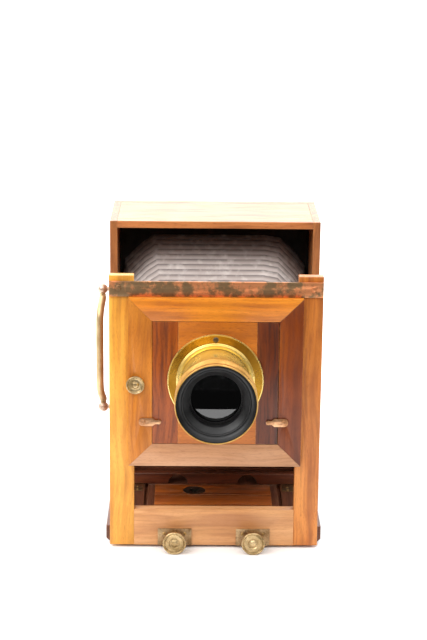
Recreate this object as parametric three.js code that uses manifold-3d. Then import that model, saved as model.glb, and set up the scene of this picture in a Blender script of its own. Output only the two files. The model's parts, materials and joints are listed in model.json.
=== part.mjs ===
// A tailboard view camera for whole plates: a flat bed with a tailboard, an upright front with a rising
// lens panel, a deep rear box that slides on the bed, tapered bellows, and a hinged focusing screen.
// Millimetres, +Z up, the lens looks along -Y. The origin is on the underside of the bed, at its centre.
import * as THREE from "three";
import { mergeVertices } from "three/addons/utils/BufferGeometryUtils.js";
import Module from "manifold-3d";

const wasm = await Module();
wasm.setup();

// ---------------------------------------------------------------- driving dimensions

const GAP = 0.3; // running clearance between pieces that move on each other
const SEAM = 0.3; // dry joint between pieces of one body
const SCREW_PLAY = 0.2; // round a screw's shank in its hole

const UPRIGHT = { halfWidth: 106.5, thickness: 10.4, stile: 24.8, height: 284.8, rail: 38.8 };
const OVERHANG = { bed: 4.3, box: 5 }; // past each side of the upright
const gapHalf = UPRIGHT.halfWidth - UPRIGHT.stile; // half the space between the stiles

const BED = {
  halfWidth: UPRIGHT.halfWidth + OVERHANG.bed,
  length: 121,
  thickness: 16.8,
  rail: 48.1,
  chamfer: 3,
};
const panelHalf = BED.halfWidth - BED.rail; // half the width between the bed's rails
const TRACK = { fromPanel: 9.3, width: 3.6, depth: 4 }; // groove in each bed rail for the box's tongue
const TAIL = { length: 200, joint: 0.4, batten: 14, battenInset: 10.8 };
const TAIL_HINGE = { fromPanel: 12.8, width: 24, leaf: 20, plate: 1.5, knuckle: 1.6 };
const BUSH = { x: -20, y: 43.5, flange: 12, barrel: 8, bore: 4.8, lip: 2 }; // tripod bush
const STRAP = { fromTop: 21, height: 15.6, thickness: 1.8, inset: 0.2 };
const STRAP_SCREW = { fromSide: 9.5, above: 0.9, head: 2.9, dome: 0.9, shank: 1.3, length: 9 };
const THUMB = { x: 40.1, z: 9.1, disc: 12, reach: 20.5, shank: 2.9, length: 24 };
const THUMB_PLATE = { width: 34.7, height: 18, thickness: 1.2 };

const RISING = {
  travel: 49.5, // open space under the panel at rest, which is the top of its travel
  underStrap: 0.2,
  lap: 5.3, // over each stile
  member: 23.5,
  proud: 6.9, // thickness of the face that laps over the stiles
  lip: 3, // rebate that the lens board rests on
};
const KEEPER = { lap: 4.3, width: 12, thickness: 3.6 };
const LENS_BOARD = { leftCleat: 25.7, rightCleat: 22, play: 0.5, recess: 0.3 };
const CLIP = {
  fromLeft: 14.5,
  fromRight: 17.5,
  up: 47.1,
  halfWidth: 4.15,
  length: 22.5,
  thickness: 1.4,
  nib: 8.5, // length of the narrow end
  neck: 2, // half its width
  tip: 2.4, // radius of its rounded end
};
const CLIP_SCREW = { head: 2.6, dome: 0.9, shank: 1.3, length: 5 };
const RISE_KNOB = { fromLeft: 7, up: 86.7, disc: 9.25, reach: 6.2, shank: 1.6, length: 5 };

const LENS = {
  lift: 3.5, // of the optical axis above the middle of the rising panel
  barrel: 34.2, // radius; the other radii stand outside or inside it by the steps below
  flangeStep: 13.9,
  flangeThickness: 2.9,
  screwStep: 8.4,
  collarStep: 4.2,
  collarHeight: 3.6,
  tailStep: -2.8, // the threaded part that passes through the board
  wall: 2.6,
  barrelEnd: 60, // in front of the board's face
  tailEnd: 14, // behind the board's face
  hoodStep: 6,
  hoodLength: 21,
  hoodEnd: 80.5,
  mouthStep: -7.9,
  clearStep: -9.6, // free radius of the front cell
};
const FLANGE_SCREW = { head: 2.8, dome: 0.7, shank: 1.2, length: 6 };
const SLOT_HALF = 0.35; // half the width of a screwdriver slot

const BOX = { depth: 100, aboveUpright: 26.6, side: 8, lid: 7.5, rest: 1.6 };
const BOX_RAIL = { height: 12, depth: 12, archX: 38, arch: 11 };
const BOX_FLOOR = { start: 30, thickness: 8 };
const BACK = { thickness: 10, lap: 6 }; // the frame shows inside the end of the bellows by the lap
const SCREEN = { thickness: 10, member: 24, clear: 2.9, glass: 2, rebate: 5, pull: 6 };
const SCREEN_HINGE = { knuckle: 1.8, pin: 0.8, plate: 0.9, leaf: 16, height: 38, fromEnd: 45 };
const HANDLE = { z: 157.1, span: 134.6, reach: 10.4, ball: 5.6, depth: 17.2, bar: 4.1, neck: 2.2, turn: 81 };

const BELLOWS = {
  frontWiderThanOpening: 6,
  frontRise: 0.15, // of its top and bottom inside the opening
  frontChamfer: 17,
  rearInsideBox: 11.5,
  rearInsideBack: [34.9, 35.9], // from the box's underside and from its lid
  rearChamfer: 25,
  wall: 2.5,
  seam: 0.002, // share of its length left between the two stretches
  pleats: 14,
  frontPleats: 2, // that shear as the panel rises
};

// ---------------------------------------------------------------- places worked out from them

const bedFront = -BED.length / 2;
const bedRear = BED.length / 2;
const faceY = bedFront - UPRIGHT.thickness; // front face of the upright
const trackCentre = panelHalf + TRACK.fromPanel;
const risingFace = faceY - GAP - RISING.proud;
const risingBack = bedFront - GAP;
const strapBottom = UPRIGHT.height - STRAP.fromTop;
const strapScrewX = UPRIGHT.halfWidth - STRAP_SCREW.fromSide;
const strapScrewZ = strapBottom + STRAP.height / 2 + STRAP_SCREW.above;
const risingHalf = gapHalf + RISING.lap;
const risingBottom = UPRIGHT.rail + RISING.travel;
const risingTop = strapBottom - RISING.underStrap;
const risingMiddle = (risingBottom + risingTop) / 2;
const clipX = { left: CLIP.fromLeft - risingHalf, right: risingHalf - CLIP.fromRight };
const clipZ = risingBottom + CLIP.up;
const knobX = RISE_KNOB.fromLeft - risingHalf;
const knobZ = risingBottom + RISE_KNOB.up;
const lensZ = risingMiddle + LENS.lift;
const lensRadius = {
  flange: LENS.barrel + LENS.flangeStep,
  screws: LENS.barrel + LENS.screwStep,
  collar: LENS.barrel + LENS.collarStep,
  tail: LENS.barrel + LENS.tailStep,
  hood: LENS.barrel + LENS.hoodStep,
  mouth: LENS.barrel + LENS.mouthStep,
  clear: LENS.barrel + LENS.clearStep,
};
const openHalf = risingHalf - RISING.member;
const openBottom = risingBottom + RISING.member;
const openTop = risingTop - RISING.member;
const boardFace = risingFace + LENS_BOARD.recess;
const boardBack = faceY - GAP - 0.1;
const boxFront = bedRear + BOX.rest;
const boxRear = boxFront + BOX.depth;
const boxBottom = BED.thickness + GAP;
const boxHalf = UPRIGHT.halfWidth + OVERHANG.box;
const boxTop = UPRIGHT.height + BOX.aboveUpright;
const boxInner = boxHalf - BOX.side;
const lidBottom = boxTop - BOX.lid;
const backFront = boxRear - BACK.thickness;
const bellowsFront = risingBack + SEAM;
const bellowsRear = backFront - SEAM;
const bellowsShare = BELLOWS.frontPleats / BELLOWS.pleats;
const bellowsEnds = {
  front: {
    halfWidth: openHalf + BELLOWS.frontWiderThanOpening,
    low: openBottom + BELLOWS.frontRise,
    high: openTop - BELLOWS.frontRise,
    chamfer: BELLOWS.frontChamfer,
  },
  rear: {
    halfWidth: boxInner - BELLOWS.rearInsideBox,
    low: boxBottom + BELLOWS.rearInsideBack[0],
    high: lidBottom - BELLOWS.rearInsideBack[1],
    chamfer: BELLOWS.rearChamfer,
  },
};

// ---------------------------------------------------------------- finishes

const finish = (color, roughness, metalness = 0) =>
  new THREE.MeshStandardMaterial({ color, roughness, metalness });
const satinwood = finish(0xd98a35, 0.42);
const walnut = finish(0x9c5a2c, 0.45);
const darkWalnut = finish(0x6a3520, 0.45);
const boardWood = finish(0xb0622a, 0.4);
const brass = finish(0xb8955a, 0.35, 1);
const lacqueredBrass = finish(0xd8ab52, 0.22, 1);
const copperStrap = finish(0x9a7a4c, 0.45, 1);
const blackEnamel = finish(0x141416, 0.4);
const lensGlass = finish(0x20242a, 0.05);
const screenGlass = finish(0xb9c2c0, 0.6);
const bellowsCloth = finish(0x4b4743, 0.85);

// ---------------------------------------------------------------- shapes

// A closed three.js geometry as a solid that can be joined and cut.
function solid(geometry) {
  const bare = geometry.index ? geometry.toNonIndexed() : geometry.clone();
  bare.deleteAttribute("normal");
  bare.deleteAttribute("uv");
  const merged = mergeVertices(bare, 1e-4);
  return new wasm.Manifold(
    new wasm.Mesh({
      numProp: 3,
      vertProperties: merged.attributes.position.array,
      triVerts: new Uint32Array(merged.index.array),
    }),
  );
}

// A solid as a three.js geometry again.
function geometryOf(shape) {
  const mesh = shape.getMesh();
  const stride = mesh.numProp;
  const position = new Float32Array(mesh.numVert * 3);
  for (let i = 0; i < mesh.numVert; i++)
    position.set(mesh.vertProperties.subarray(i * stride, i * stride + 3), i * 3);
  const geometry = new THREE.BufferGeometry();
  geometry.setAttribute("position", new THREE.BufferAttribute(position, 3));
  geometry.setIndex(new THREE.BufferAttribute(mesh.triVerts, 1));
  return geometry;
}

// A board between two corners. Its corners are set outright, so that boards which share a plane meet exactly.
function block([x0, x1], [y0, y1], [z0, z1]) {
  const geometry = new THREE.BoxGeometry(1, 1, 1);
  const corner = geometry.attributes.position;
  for (let i = 0; i < corner.count; i++) {
    const x = corner.getX(i) < 0 ? x0 : x1;
    const y = corner.getY(i) < 0 ? y0 : y1;
    const z = corner.getZ(i) < 0 ? z0 : z1;
    corner.setXYZ(i, x, y, z);
  }
  return solid(geometry);
}

// An outline of [x, z] points carried along Y from y0 to y1.
function slab(outline, y0, y1) {
  const shape = new THREE.Shape(outline.map(([x, z]) => new THREE.Vector2(x, z)));
  const geometry = new THREE.ExtrudeGeometry(shape, { depth: y1 - y0, bevelEnabled: false });
  geometry.rotateX(Math.PI / 2);
  geometry.translate(0, y1, 0);
  return solid(geometry);
}

// A profile of [radius, reach] points, listed anticlockwise, turned about the axis. It starts and ends on
// the axis, or it is closed here into a ring.
function turned(profile, segments) {
  const points = profile.map(([radius, reach]) => new THREE.Vector2(radius, reach));
  if (profile[0][0] > 0) points.push(points[0].clone());
  return new THREE.LatheGeometry(points, segments);
}

// Turned about an axis through (x, z), with its reach measured from y = base towards the front.
function turnedY(profile, x, base, z, segments = 24) {
  const geometry = turned(profile, segments);
  geometry.rotateX(Math.PI);
  geometry.translate(x, base, z);
  return solid(geometry);
}

// Turned about an upright axis through (x, y), with its reach measured up from z = base.
function turnedZ(profile, x, y, base, segments = 24) {
  const geometry = turned(profile, segments);
  geometry.rotateX(Math.PI / 2);
  geometry.translate(x, y, base);
  return solid(geometry);
}

// Round pegs, also used as the tools that bore holes.
function rodX(radius, [x0, x1], y, z, segments = 20) {
  const geometry = new THREE.CylinderGeometry(radius, radius, x1 - x0, segments);
  geometry.rotateZ(Math.PI / 2);
  geometry.translate((x0 + x1) / 2, y, z);
  return solid(geometry);
}

function rodY(radius, x, [y0, y1], z, segments = 20) {
  const geometry = new THREE.CylinderGeometry(radius, radius, y1 - y0, segments);
  geometry.translate(x, (y0 + y1) / 2, z);
  return solid(geometry);
}

function rodZ(radius, x, y, [z0, z1], segments = 20) {
  const geometry = new THREE.CylinderGeometry(radius, radius, z1 - z0, segments);
  geometry.rotateX(Math.PI / 2);
  geometry.translate(x, y, (z0 + z1) / 2);
  return solid(geometry);
}

// A convex outline of [x, z] points at y0 drawn out to a like outline at y1.
function loft(near, y0, far, y1) {
  const count = near.length;
  const position = [];
  near.forEach(([x, z]) => position.push(x, y0, z));
  far.forEach(([x, z]) => position.push(x, y1, z));
  const index = [];
  for (let i = 0; i < count; i++) {
    const next = (i + 1) % count;
    index.push(i, count + next, next, i, count + i, count + next);
  }
  for (let i = 1; i < count - 1; i++) {
    index.push(0, i, i + 1);
    index.push(count, count + i + 1, count + i);
  }
  const geometry = new THREE.BufferGeometry();
  geometry.setAttribute("position", new THREE.Float32BufferAttribute(position, 3));
  geometry.setIndex(index);
  return solid(geometry);
}

// A slotted round-headed screw driven along +Y at (x, z), its head resting on y = face.
function slottedScrew(x, z, face, screw) {
  const body = turnedY(
    [
      [0, -screw.length],
      [screw.shank, -screw.length],
      [screw.shank, 0],
      [screw.head, 0],
      [screw.head * 0.93, screw.dome * 0.55],
      [screw.head * 0.6, screw.dome],
      [0, screw.dome],
    ],
    x,
    face,
    z,
    12,
  );
  const slot = block(
    [x - screw.head * 1.1, x + screw.head * 1.1],
    [face - screw.dome * 1.5, face - screw.dome * 0.45],
    [z - SLOT_HALF, z + SLOT_HALF],
  );
  return body.subtract(slot);
}

const screwHole = (x, z, face, screw) =>
  rodY(screw.shank + SCREW_PLAY, x, [face - 5, face + screw.length + 1], z, 12);

// ---------------------------------------------------------------- the scene graph

const camera = new THREE.Group();

function add(name, shape, material) {
  const mesh = new THREE.Mesh(geometryOf(shape), material);
  mesh.name = name;
  camera.add(mesh);
}

const SIDES = { left: -1, right: 1 };

// A range on the left or right of the middle, from inner to outer.
const across = (side, inner, outer) => (side < 0 ? [-outer, -inner] : [inner, outer]);

// ---------------------------------------------------------------- bed and tailboard

function hingeRecess(side) {
  const hinge = TAIL_HINGE;
  const middle = bedRear + TAIL.joint / 2;
  const inner = panelHalf + hinge.fromPanel;
  const width = across(side, inner - 0.1, inner + hinge.width + 0.1);
  const leaf = block(
    width,
    [middle - hinge.leaf - 0.1, middle + hinge.leaf + 0.1],
    [BED.thickness - hinge.plate - 0.1, BED.thickness + 1],
  );
  const knuckle = block(
    width,
    [middle - hinge.knuckle - 0.3, middle + hinge.knuckle + 0.3],
    [BED.thickness - 2 * hinge.knuckle - 0.4, BED.thickness + 1],
  );
  return leaf.add(knuckle);
}

function trackGroove(side, span) {
  const inner = panelHalf + TRACK.fromPanel - TRACK.width / 2;
  return block(across(side, inner, inner + TRACK.width), span, [
    BED.thickness - TRACK.depth,
    BED.thickness + 1,
  ]);
}

function bedRail(side) {
  const edge = BED.halfWidth - BED.chamfer;
  const outline = [
    [panelHalf, 0],
    [edge, 0],
    [BED.halfWidth, BED.chamfer],
    [BED.halfWidth, BED.thickness],
    [panelHalf, BED.thickness],
  ];
  const mirrored = outline.map(([x, z]) => [side * x, z]);
  if (side < 0) mirrored.reverse();
  return slab(mirrored, bedFront, bedRear)
    .subtract(trackGroove(side, [bedFront - 1, bedRear + 1]))
    .subtract(hingeRecess(side));
}

function bedPanel() {
  const half = panelHalf;
  let panel = block([-half, half], [bedFront, bedRear], [0, BED.thickness]);
  const bushBarrel = BUSH.barrel + SEAM;
  panel = panel.subtract(rodZ(bushBarrel, BUSH.x, BUSH.y, [-1, BED.thickness + 1], 24));
  const flangeSeat = [BED.thickness - BUSH.lip - 0.1, BED.thickness + 1];
  panel = panel.subtract(rodZ(BUSH.flange + SEAM, BUSH.x, BUSH.y, flangeSeat, 24));
  for (const side of [-1, 1])
    panel = panel.subtract(thumbScrewHole(side));
  return panel;
}

function tripodBush() {
  const lipBottom = BED.thickness - BUSH.lip;
  const profile = [
    [BUSH.bore, GAP],
    [BUSH.barrel, GAP],
    [BUSH.barrel, lipBottom],
    [BUSH.flange, lipBottom],
    [BUSH.flange, BED.thickness - 0.1],
    [BUSH.bore, BED.thickness - 0.1],
  ];
  return turnedZ(profile, BUSH.x, BUSH.y, 0);
}

function tailboard() {
  const start = bedRear + TAIL.joint;
  const end = start + TAIL.length;
  const half = BED.halfWidth;
  let board = block([-half, half], [start, end], [0, BED.thickness]);
  for (const side of [-1, 1])
    board = board.subtract(trackGroove(side, [start - 1, end - TRACK.width])).subtract(hingeRecess(side));
  return board;
}

// A butt hinge let in flush, its two leaves and its pin closed up as one piece.
function tailHinge(side) {
  const hinge = TAIL_HINGE;
  const middle = bedRear + TAIL.joint / 2;
  const inner = panelHalf + hinge.fromPanel;
  const width = across(side, inner, inner + hinge.width);
  const top = BED.thickness - 0.05;
  const leaves = block(width, [middle - hinge.leaf, middle + hinge.leaf], [top - hinge.plate, top]);
  return leaves.add(rodX(hinge.knuckle, width, middle, top - hinge.knuckle - 0.05, 16));
}

// A strip across the tailboard's underside keeps it flat, and with the two thumb screws it is what the
// camera stands on.
function tailBatten() {
  const end = bedRear + TAIL.joint + TAIL.length;
  const half = BED.halfWidth - TAIL.battenInset;
  return block([-half, half], [end - TAIL.batten, end], [THUMB.z - THUMB.disc, 0]);
}

add("bed_panel", bedPanel(), satinwood);
add("tripod_bush", tripodBush(), brass);
add("tailboard", tailboard(), walnut);
add("tail_batten", tailBatten(), darkWalnut);
for (const [name, side] of Object.entries(SIDES)) {
  add(`bed_rail_${name}`, bedRail(side), darkWalnut);
  add(`tail_hinge_${name}`, tailHinge(side), brass);
}

// ---------------------------------------------------------------- upright front

function thumbScrewHole(side) {
  const radius = THUMB.shank + GAP;
  return rodY(radius, side * THUMB.x, [faceY - 5, faceY + THUMB.length + 1], THUMB.z, 24);
}

function uprightStile(side) {
  const width = across(side, gapHalf, UPRIGHT.halfWidth);
  const stile = block(width, [faceY, bedFront], [0, UPRIGHT.height]);
  const strapFace = faceY - STRAP.thickness;
  return stile.subtract(screwHole(side * strapScrewX, strapScrewZ, strapFace, STRAP_SCREW));
}

function uprightRail() {
  let rail = block([-gapHalf, gapHalf], [faceY, bedFront], [0, UPRIGHT.rail]);
  for (const side of [-1, 1]) rail = rail.subtract(thumbScrewHole(side));
  return rail;
}

function strap() {
  const half = UPRIGHT.halfWidth - STRAP.inset;
  const face = faceY - STRAP.thickness;
  let bar = block([-half, half], [face, faceY], [strapBottom, strapBottom + STRAP.height]);
  for (const side of [-1, 1]) {
    bar = bar.subtract(screwHole(side * strapScrewX, strapScrewZ, face, STRAP_SCREW));
  }
  return bar;
}

// The brass pad that a thumb screw's collar bears on.
function thumbPlate(side) {
  const middle = side * THUMB.x;
  const half = THUMB_PLATE.width / 2;
  const depth = [faceY - THUMB_PLATE.thickness, faceY];
  const plate = block([middle - half, middle + half], depth, [0, THUMB_PLATE.height]);
  return plate.subtract(thumbScrewHole(side));
}

// A turned screw with a broad dished head, a waist and a plain shank that enters the bed's front end.
function thumbScrew(side) {
  const seat = THUMB_PLATE.thickness + 0.2;
  const disc = THUMB.disc;
  const profile = [
    [0, -THUMB.length],
    [THUMB.shank, -THUMB.length],
    [THUMB.shank, seat],
    [6, seat],
    [6, seat + 1.6],
    [4.3, seat + 2.6],
    [4.3, THUMB.reach - 7.4],
    [7.5, THUMB.reach - 6],
    [disc - 0.8, THUMB.reach - 5.6],
    [disc, THUMB.reach - 4.8],
    [disc, THUMB.reach - 1.2],
    [disc - 0.7, THUMB.reach - 0.5],
    [disc - 2.2, THUMB.reach - 0.5],
    [disc - 2.9, THUMB.reach - 2],
    [4.2, THUMB.reach - 1.6],
    [3, THUMB.reach - 0.3],
    [0, THUMB.reach],
  ];
  return turnedY(profile, side * THUMB.x, faceY, THUMB.z);
}

add("upright_rail", uprightRail(), satinwood);
add("strap", strap(), copperStrap);
for (const [name, side] of Object.entries(SIDES)) {
  add(`upright_stile_${name}`, uprightStile(side), satinwood);
  const strapFace = faceY - STRAP.thickness;
  add(`strap_screw_${name}`, slottedScrew(side * strapScrewX, strapScrewZ, strapFace, STRAP_SCREW), brass);
  add(`thumb_plate_${name}`, thumbPlate(side), brass);
  add(`thumb_screw_${name}`, thumbScrew(side), brass);
}

// ---------------------------------------------------------------- rising panel

// One mitred member of a frame that lies across Y: the outer edge is inset from a rectangle of the panel's
// full size, and the inner edge stands at the given depth from it.
function mitredSlab(place, inset, depth, y0, y1) {
  const halfX = risingHalf;
  const halfZ = risingTop - risingMiddle;
  const corner = (sx, sz, d) => [sx * (halfX - d), risingMiddle + sz * (halfZ - d)];
  const ends = {
    left: [[-1, 1], [-1, -1]],
    right: [[1, -1], [1, 1]],
    top: [[1, 1], [-1, 1]],
    bottom: [[-1, -1], [1, -1]],
  };
  const [[ax, az], [bx, bz]] = ends[place];
  const outer = [corner(ax, az, inset), corner(bx, bz, inset)];
  const inner = [corner(bx, bz, depth), corner(ax, az, depth)];
  return slab([...outer, ...inner], y0, y1);
}

// The face laps over the stiles; the tongue behind it runs between them and carries the board's rebate.
function risingMember(place) {
  const tongueInset = risingHalf - gapHalf + GAP;
  const face = mitredSlab(place, 0, RISING.member, risingFace, faceY - GAP);
  const tongue = mitredSlab(place, tongueInset, RISING.member + RISING.lip, faceY - GAP, risingBack);
  const boards = { left: [clipHole(clipX.left), riseKnobHole()], right: [clipHole(clipX.right)] };
  let member = face.add(tongue);
  for (const hole of boards[place] ?? []) member = member.subtract(hole);
  return member;
}

const clipHole = (x) => screwHole(x, clipZ, risingFace - CLIP.thickness - 0.2, CLIP_SCREW);
const riseKnobHole = () =>
  rodY(RISE_KNOB.shank + GAP, knobX, [risingFace - 5, risingFace + RISE_KNOB.length + 0.5], knobZ, 16);

// A strip behind each side of the panel laps behind the stile and keeps the panel in.
function risingKeeper(side) {
  const outer = gapHalf + KEEPER.lap;
  const back = [bedFront + GAP, bedFront + GAP + KEEPER.thickness];
  return block(across(side, outer - KEEPER.width, outer), back, [risingBottom + 12, risingTop - 12]);
}

// A brass turn clip: a round pivot end, straight sides, and a narrow nib with a small round tip.
function turnClip(x, toward) {
  const wide = CLIP.halfWidth;
  const shoulder = CLIP.length - wide - CLIP.nib;
  const tip = CLIP.length - wide - CLIP.tip; // centre of the rounded end
  const outline = [];
  for (let i = 0; i <= 10; i++) {
    const angle = Math.PI / 2 + (Math.PI * i) / 10;
    outline.push([wide * Math.cos(angle), wide * Math.sin(angle)]);
  }
  outline.push([shoulder, -wide], [shoulder + 2.6, -CLIP.neck], [tip - 1, -CLIP.neck]);
  for (let i = 0; i <= 6; i++) {
    const angle = -Math.PI / 2 + (Math.PI * i) / 6;
    outline.push([tip + CLIP.tip * Math.cos(angle), CLIP.tip * Math.sin(angle)]);
  }
  outline.push([tip - 1, CLIP.neck], [shoulder + 2.6, CLIP.neck], [shoulder, wide]);
  const placed = outline.map(([along, up]) => [x + toward * along, clipZ + up]);
  if (toward < 0) placed.reverse();
  const back = risingFace - 0.15;
  const plate = slab(placed, back - CLIP.thickness, back);
  return plate.subtract(rodY(CLIP_SCREW.shank + GAP, x, [back - 5, back + 5], clipZ, 16));
}

function riseKnob() {
  const disc = RISE_KNOB.disc;
  const reach = RISE_KNOB.reach;
  const profile = [
    [0, -RISE_KNOB.length],
    [RISE_KNOB.shank, -RISE_KNOB.length],
    [RISE_KNOB.shank, 0.2],
    [5.2, 0.2],
    [4.2, 1.8],
    [disc - 0.6, 2.2],
    [disc, 2.9],
    [disc, reach - 1.6],
    [disc - 0.6, reach - 1],
    [disc - 1.6, reach - 1],
    [disc - 2.4, reach - 2.4],
    [3.4, reach - 2.2],
    [2.6, reach - 0.6],
    [0, reach],
  ];
  return turnedY(profile, knobX, risingFace, knobZ);
}

for (const place of ["left", "right"]) add(`rising_stile_${place}`, risingMember(place), walnut);
for (const place of ["top", "bottom"]) add(`rising_rail_${place}`, risingMember(place), walnut);
for (const [name, side] of Object.entries(SIDES)) {
  add(`rising_keeper_${name}`, risingKeeper(side), darkWalnut);
  const x = side < 0 ? clipX.left : clipX.right;
  add(`turn_clip_${name}`, turnClip(x, -side), brass);
  add(`clip_screw_${name}`, slottedScrew(x, clipZ, risingFace - CLIP.thickness - 0.25, CLIP_SCREW), brass);
}
add("rise_knob", riseKnob(), brass);

// ---------------------------------------------------------------- lens board

const boardHalf = openHalf - LENS_BOARD.play;
const panelLeft = -boardHalf + LENS_BOARD.leftCleat;
const panelRight = boardHalf - LENS_BOARD.rightCleat;
const flangeScrewAngles = [90, 210, 330];

function boardPiece(x0, x1) {
  const height = [openBottom + LENS_BOARD.play, openTop - LENS_BOARD.play];
  let piece = block([x0, x1], [boardFace, boardBack], height);
  piece = piece.subtract(rodY(lensRadius.tail + GAP, 0, [boardFace - 5, boardBack + 5], lensZ, 36));
  for (const angle of flangeScrewAngles) piece = piece.subtract(flangeScrewHole(angle));
  return piece;
}

const flangeScrewPlace = (angle) => [
  lensRadius.screws * Math.cos((angle * Math.PI) / 180),
  lensZ + lensRadius.screws * Math.sin((angle * Math.PI) / 180),
];

function flangeScrewHole(angle) {
  const [x, z] = flangeScrewPlace(angle);
  return screwHole(x, z, boardFace - LENS.flangeThickness, FLANGE_SCREW);
}

add("lens_board_panel", boardPiece(panelLeft + SEAM / 2, panelRight - SEAM / 2), boardWood);
add("lens_board_cleat_left", boardPiece(-boardHalf, panelLeft - SEAM / 2), darkWalnut);
add("lens_board_cleat_right", boardPiece(panelRight + SEAM / 2, boardHalf), darkWalnut);

// ---------------------------------------------------------------- lens

const hoodBack = LENS.hoodEnd - LENS.hoodLength;
const lensPiece = (profile, segments = 36) => turnedY(profile, 0, boardFace, lensZ, segments);

function lensFlange() {
  const bore = LENS.barrel + GAP;
  const plate = LENS.flangeThickness;
  let flange = lensPiece([
    [lensRadius.tail + GAP, 0],
    [lensRadius.flange, 0],
    [lensRadius.flange, plate - 0.6],
    [lensRadius.flange - 0.6, plate],
    [lensRadius.collar, plate],
    [lensRadius.collar - 0.4, plate + LENS.collarHeight],
    [bore, plate + LENS.collarHeight],
    [bore, plate],
    [lensRadius.tail + GAP, plate],
  ]);
  for (const angle of flangeScrewAngles) flange = flange.subtract(flangeScrewHole(angle));
  return flange;
}

function lensBarrel() {
  const outer = LENS.barrel;
  const shoulder = LENS.flangeThickness + 0.1;
  return lensPiece([
    [lensRadius.tail - LENS.wall, -LENS.tailEnd],
    [lensRadius.tail, -LENS.tailEnd],
    [lensRadius.tail, shoulder],
    [outer, shoulder],
    [outer, hoodBack - 7],
    [outer + 1, hoodBack - 6],
    [outer + 1, hoodBack - 2],
    [outer, hoodBack - 1],
    [outer, LENS.barrelEnd],
    [outer - LENS.wall, LENS.barrelEnd],
    [outer - LENS.wall, shoulder + 2],
    [lensRadius.tail - LENS.wall, shoulder + 2],
  ]);
}

// The hood screws over the barrel's front end. Its black inside falls from a thin rim over one low ridge to
// the mouth.
function lensHood() {
  const rim = lensRadius.hood;
  const front = LENS.hoodEnd;
  return lensPiece([
    [LENS.barrel + GAP, hoodBack],
    [rim, hoodBack],
    [rim, front - 0.7],
    [rim - 0.5, front],
    [rim - 1.2, front],
    [rim - 2.6, front - 3.4],
    [rim - 6.8, front - 6.4],
    [rim - 7.4, front - 5.8],
    [rim - 8.2, front - 6.4],
    [lensRadius.mouth, front - 12],
    [lensRadius.mouth, LENS.barrelEnd + SEAM],
    [LENS.barrel + GAP, LENS.barrelEnd + SEAM],
  ]);
}

// A glass of the given rim radius between two rim planes, with a domed front of the given rise.
function element(radius, rimBack, rimFront, rise) {
  const steps = 5;
  const profile = [
    [0, rimBack],
    [radius, rimBack],
  ];
  for (let i = 0; i <= steps; i++) {
    const r = radius * (1 - i / steps);
    profile.push([r, rimFront + rise * (1 - (r / radius) ** 2)]);
  }
  return lensPiece(profile, 24);
}

const bodyBore = LENS.barrel - LENS.wall - GAP;
const tailBore = lensRadius.tail - LENS.wall - GAP;
const frontGlassRim = LENS.barrelEnd - 5;

add("lens_flange", lensFlange(), lacqueredBrass);
add("lens_barrel", lensBarrel(), lacqueredBrass);
add("lens_hood", lensHood(), blackEnamel);
add("front_glass", element(bodyBore, frontGlassRim - 6, frontGlassRim, 3.6), lensGlass);
add(
  "front_retaining_ring",
  lensPiece([
    [lensRadius.clear, frontGlassRim + 3],
    [bodyBore, frontGlassRim + GAP],
    [bodyBore, LENS.barrelEnd],
    [lensRadius.clear, LENS.barrelEnd],
  ]),
  blackEnamel,
);
add(
  "lens_stop",
  lensPiece([
    [11, LENS.flangeThickness + 8],
    [bodyBore, LENS.flangeThickness + 8],
    [bodyBore, LENS.flangeThickness + 9],
    [11, LENS.flangeThickness + 9],
  ]),
  blackEnamel,
);
add("rear_glass", element(tailBore, -LENS.tailEnd + 2, -LENS.tailEnd + 7, 2.6), lensGlass);
flangeScrewAngles.forEach((angle, i) => {
  const [x, z] = flangeScrewPlace(angle);
  const face = boardFace - LENS.flangeThickness;
  add(`flange_screw_${i + 1}`, slottedScrew(x, z, face, FLANGE_SCREW), lacqueredBrass);
});

// ---------------------------------------------------------------- rear box

function boxRail() {
  const back = boxFront + BOX_RAIL.depth;
  let rail = block([-boxInner, boxInner], [boxFront, back], [boxBottom, boxBottom + BOX_RAIL.height]);
  const bore = [boxFront - 1, back + 1];
  for (const side of [-1, 1])
    rail = rail.subtract(rodY(BOX_RAIL.arch, side * BOX_RAIL.archX, bore, boxBottom - 0.4, 28));
  return rail;
}

// The floor carries two tongues that run in the grooves of the bed.
function boxFloor() {
  const floor = [boxBottom, boxBottom + BOX_FLOOR.thickness];
  const span = [boxFront + BOX_FLOOR.start, backFront];
  let board = block([-boxInner, boxInner], span, floor);
  const tongue = TRACK.width / 2 - GAP;
  for (const side of [-1, 1])
    board = board.add(
      block(
        [side * trackCentre - tongue, side * trackCentre + tongue],
        [span[0] + 2, span[1] - 2],
        [BED.thickness - TRACK.depth + GAP, boxBottom + 1],
      ),
    );
  return board;
}

function boxSide(side) {
  const board = block(across(side, boxInner, boxHalf), [boxFront, boxRear], [boxBottom, boxTop]);
  if (side > 0) return board;
  return handleBalls.reduce((wood, z) => wood.subtract(handlePostHole(z)), board);
}

// The back has an eight-sided opening, as the bellows glued round it have.
function backFrameBoard() {
  const board = block([-boxInner, boxInner], [backFront, boxRear], [boxBottom, lidBottom]);
  return board.subtract(slab(bellowsOutline(bellowsEnds.rear, BACK.lap), backFront - 1, boxRear + 1));
}

// A frame across Y with one window.
function windowFrame(halfWidth, [z0, z1], openHalfWidth, [open0, open1], [y0, y1]) {
  const frame = block([-halfWidth, halfWidth], [y0, y1], [z0, z1]);
  return frame.subtract(block([-openHalfWidth, openHalfWidth], [y0 - 1, y1 + 1], [open0, open1]));
}

const handleY = boxFront + BOX.depth / 2;
const handleX = -boxHalf - HANDLE.reach;
const handleBalls = [HANDLE.z - HANDLE.span / 2, HANDLE.z + HANDLE.span / 2];
const postShank = 2.4;
const handlePostHole = (z) => rodX(postShank + 0.1, [-boxHalf - 1, -boxHalf + 6.5], handleY, z, 16);

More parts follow.
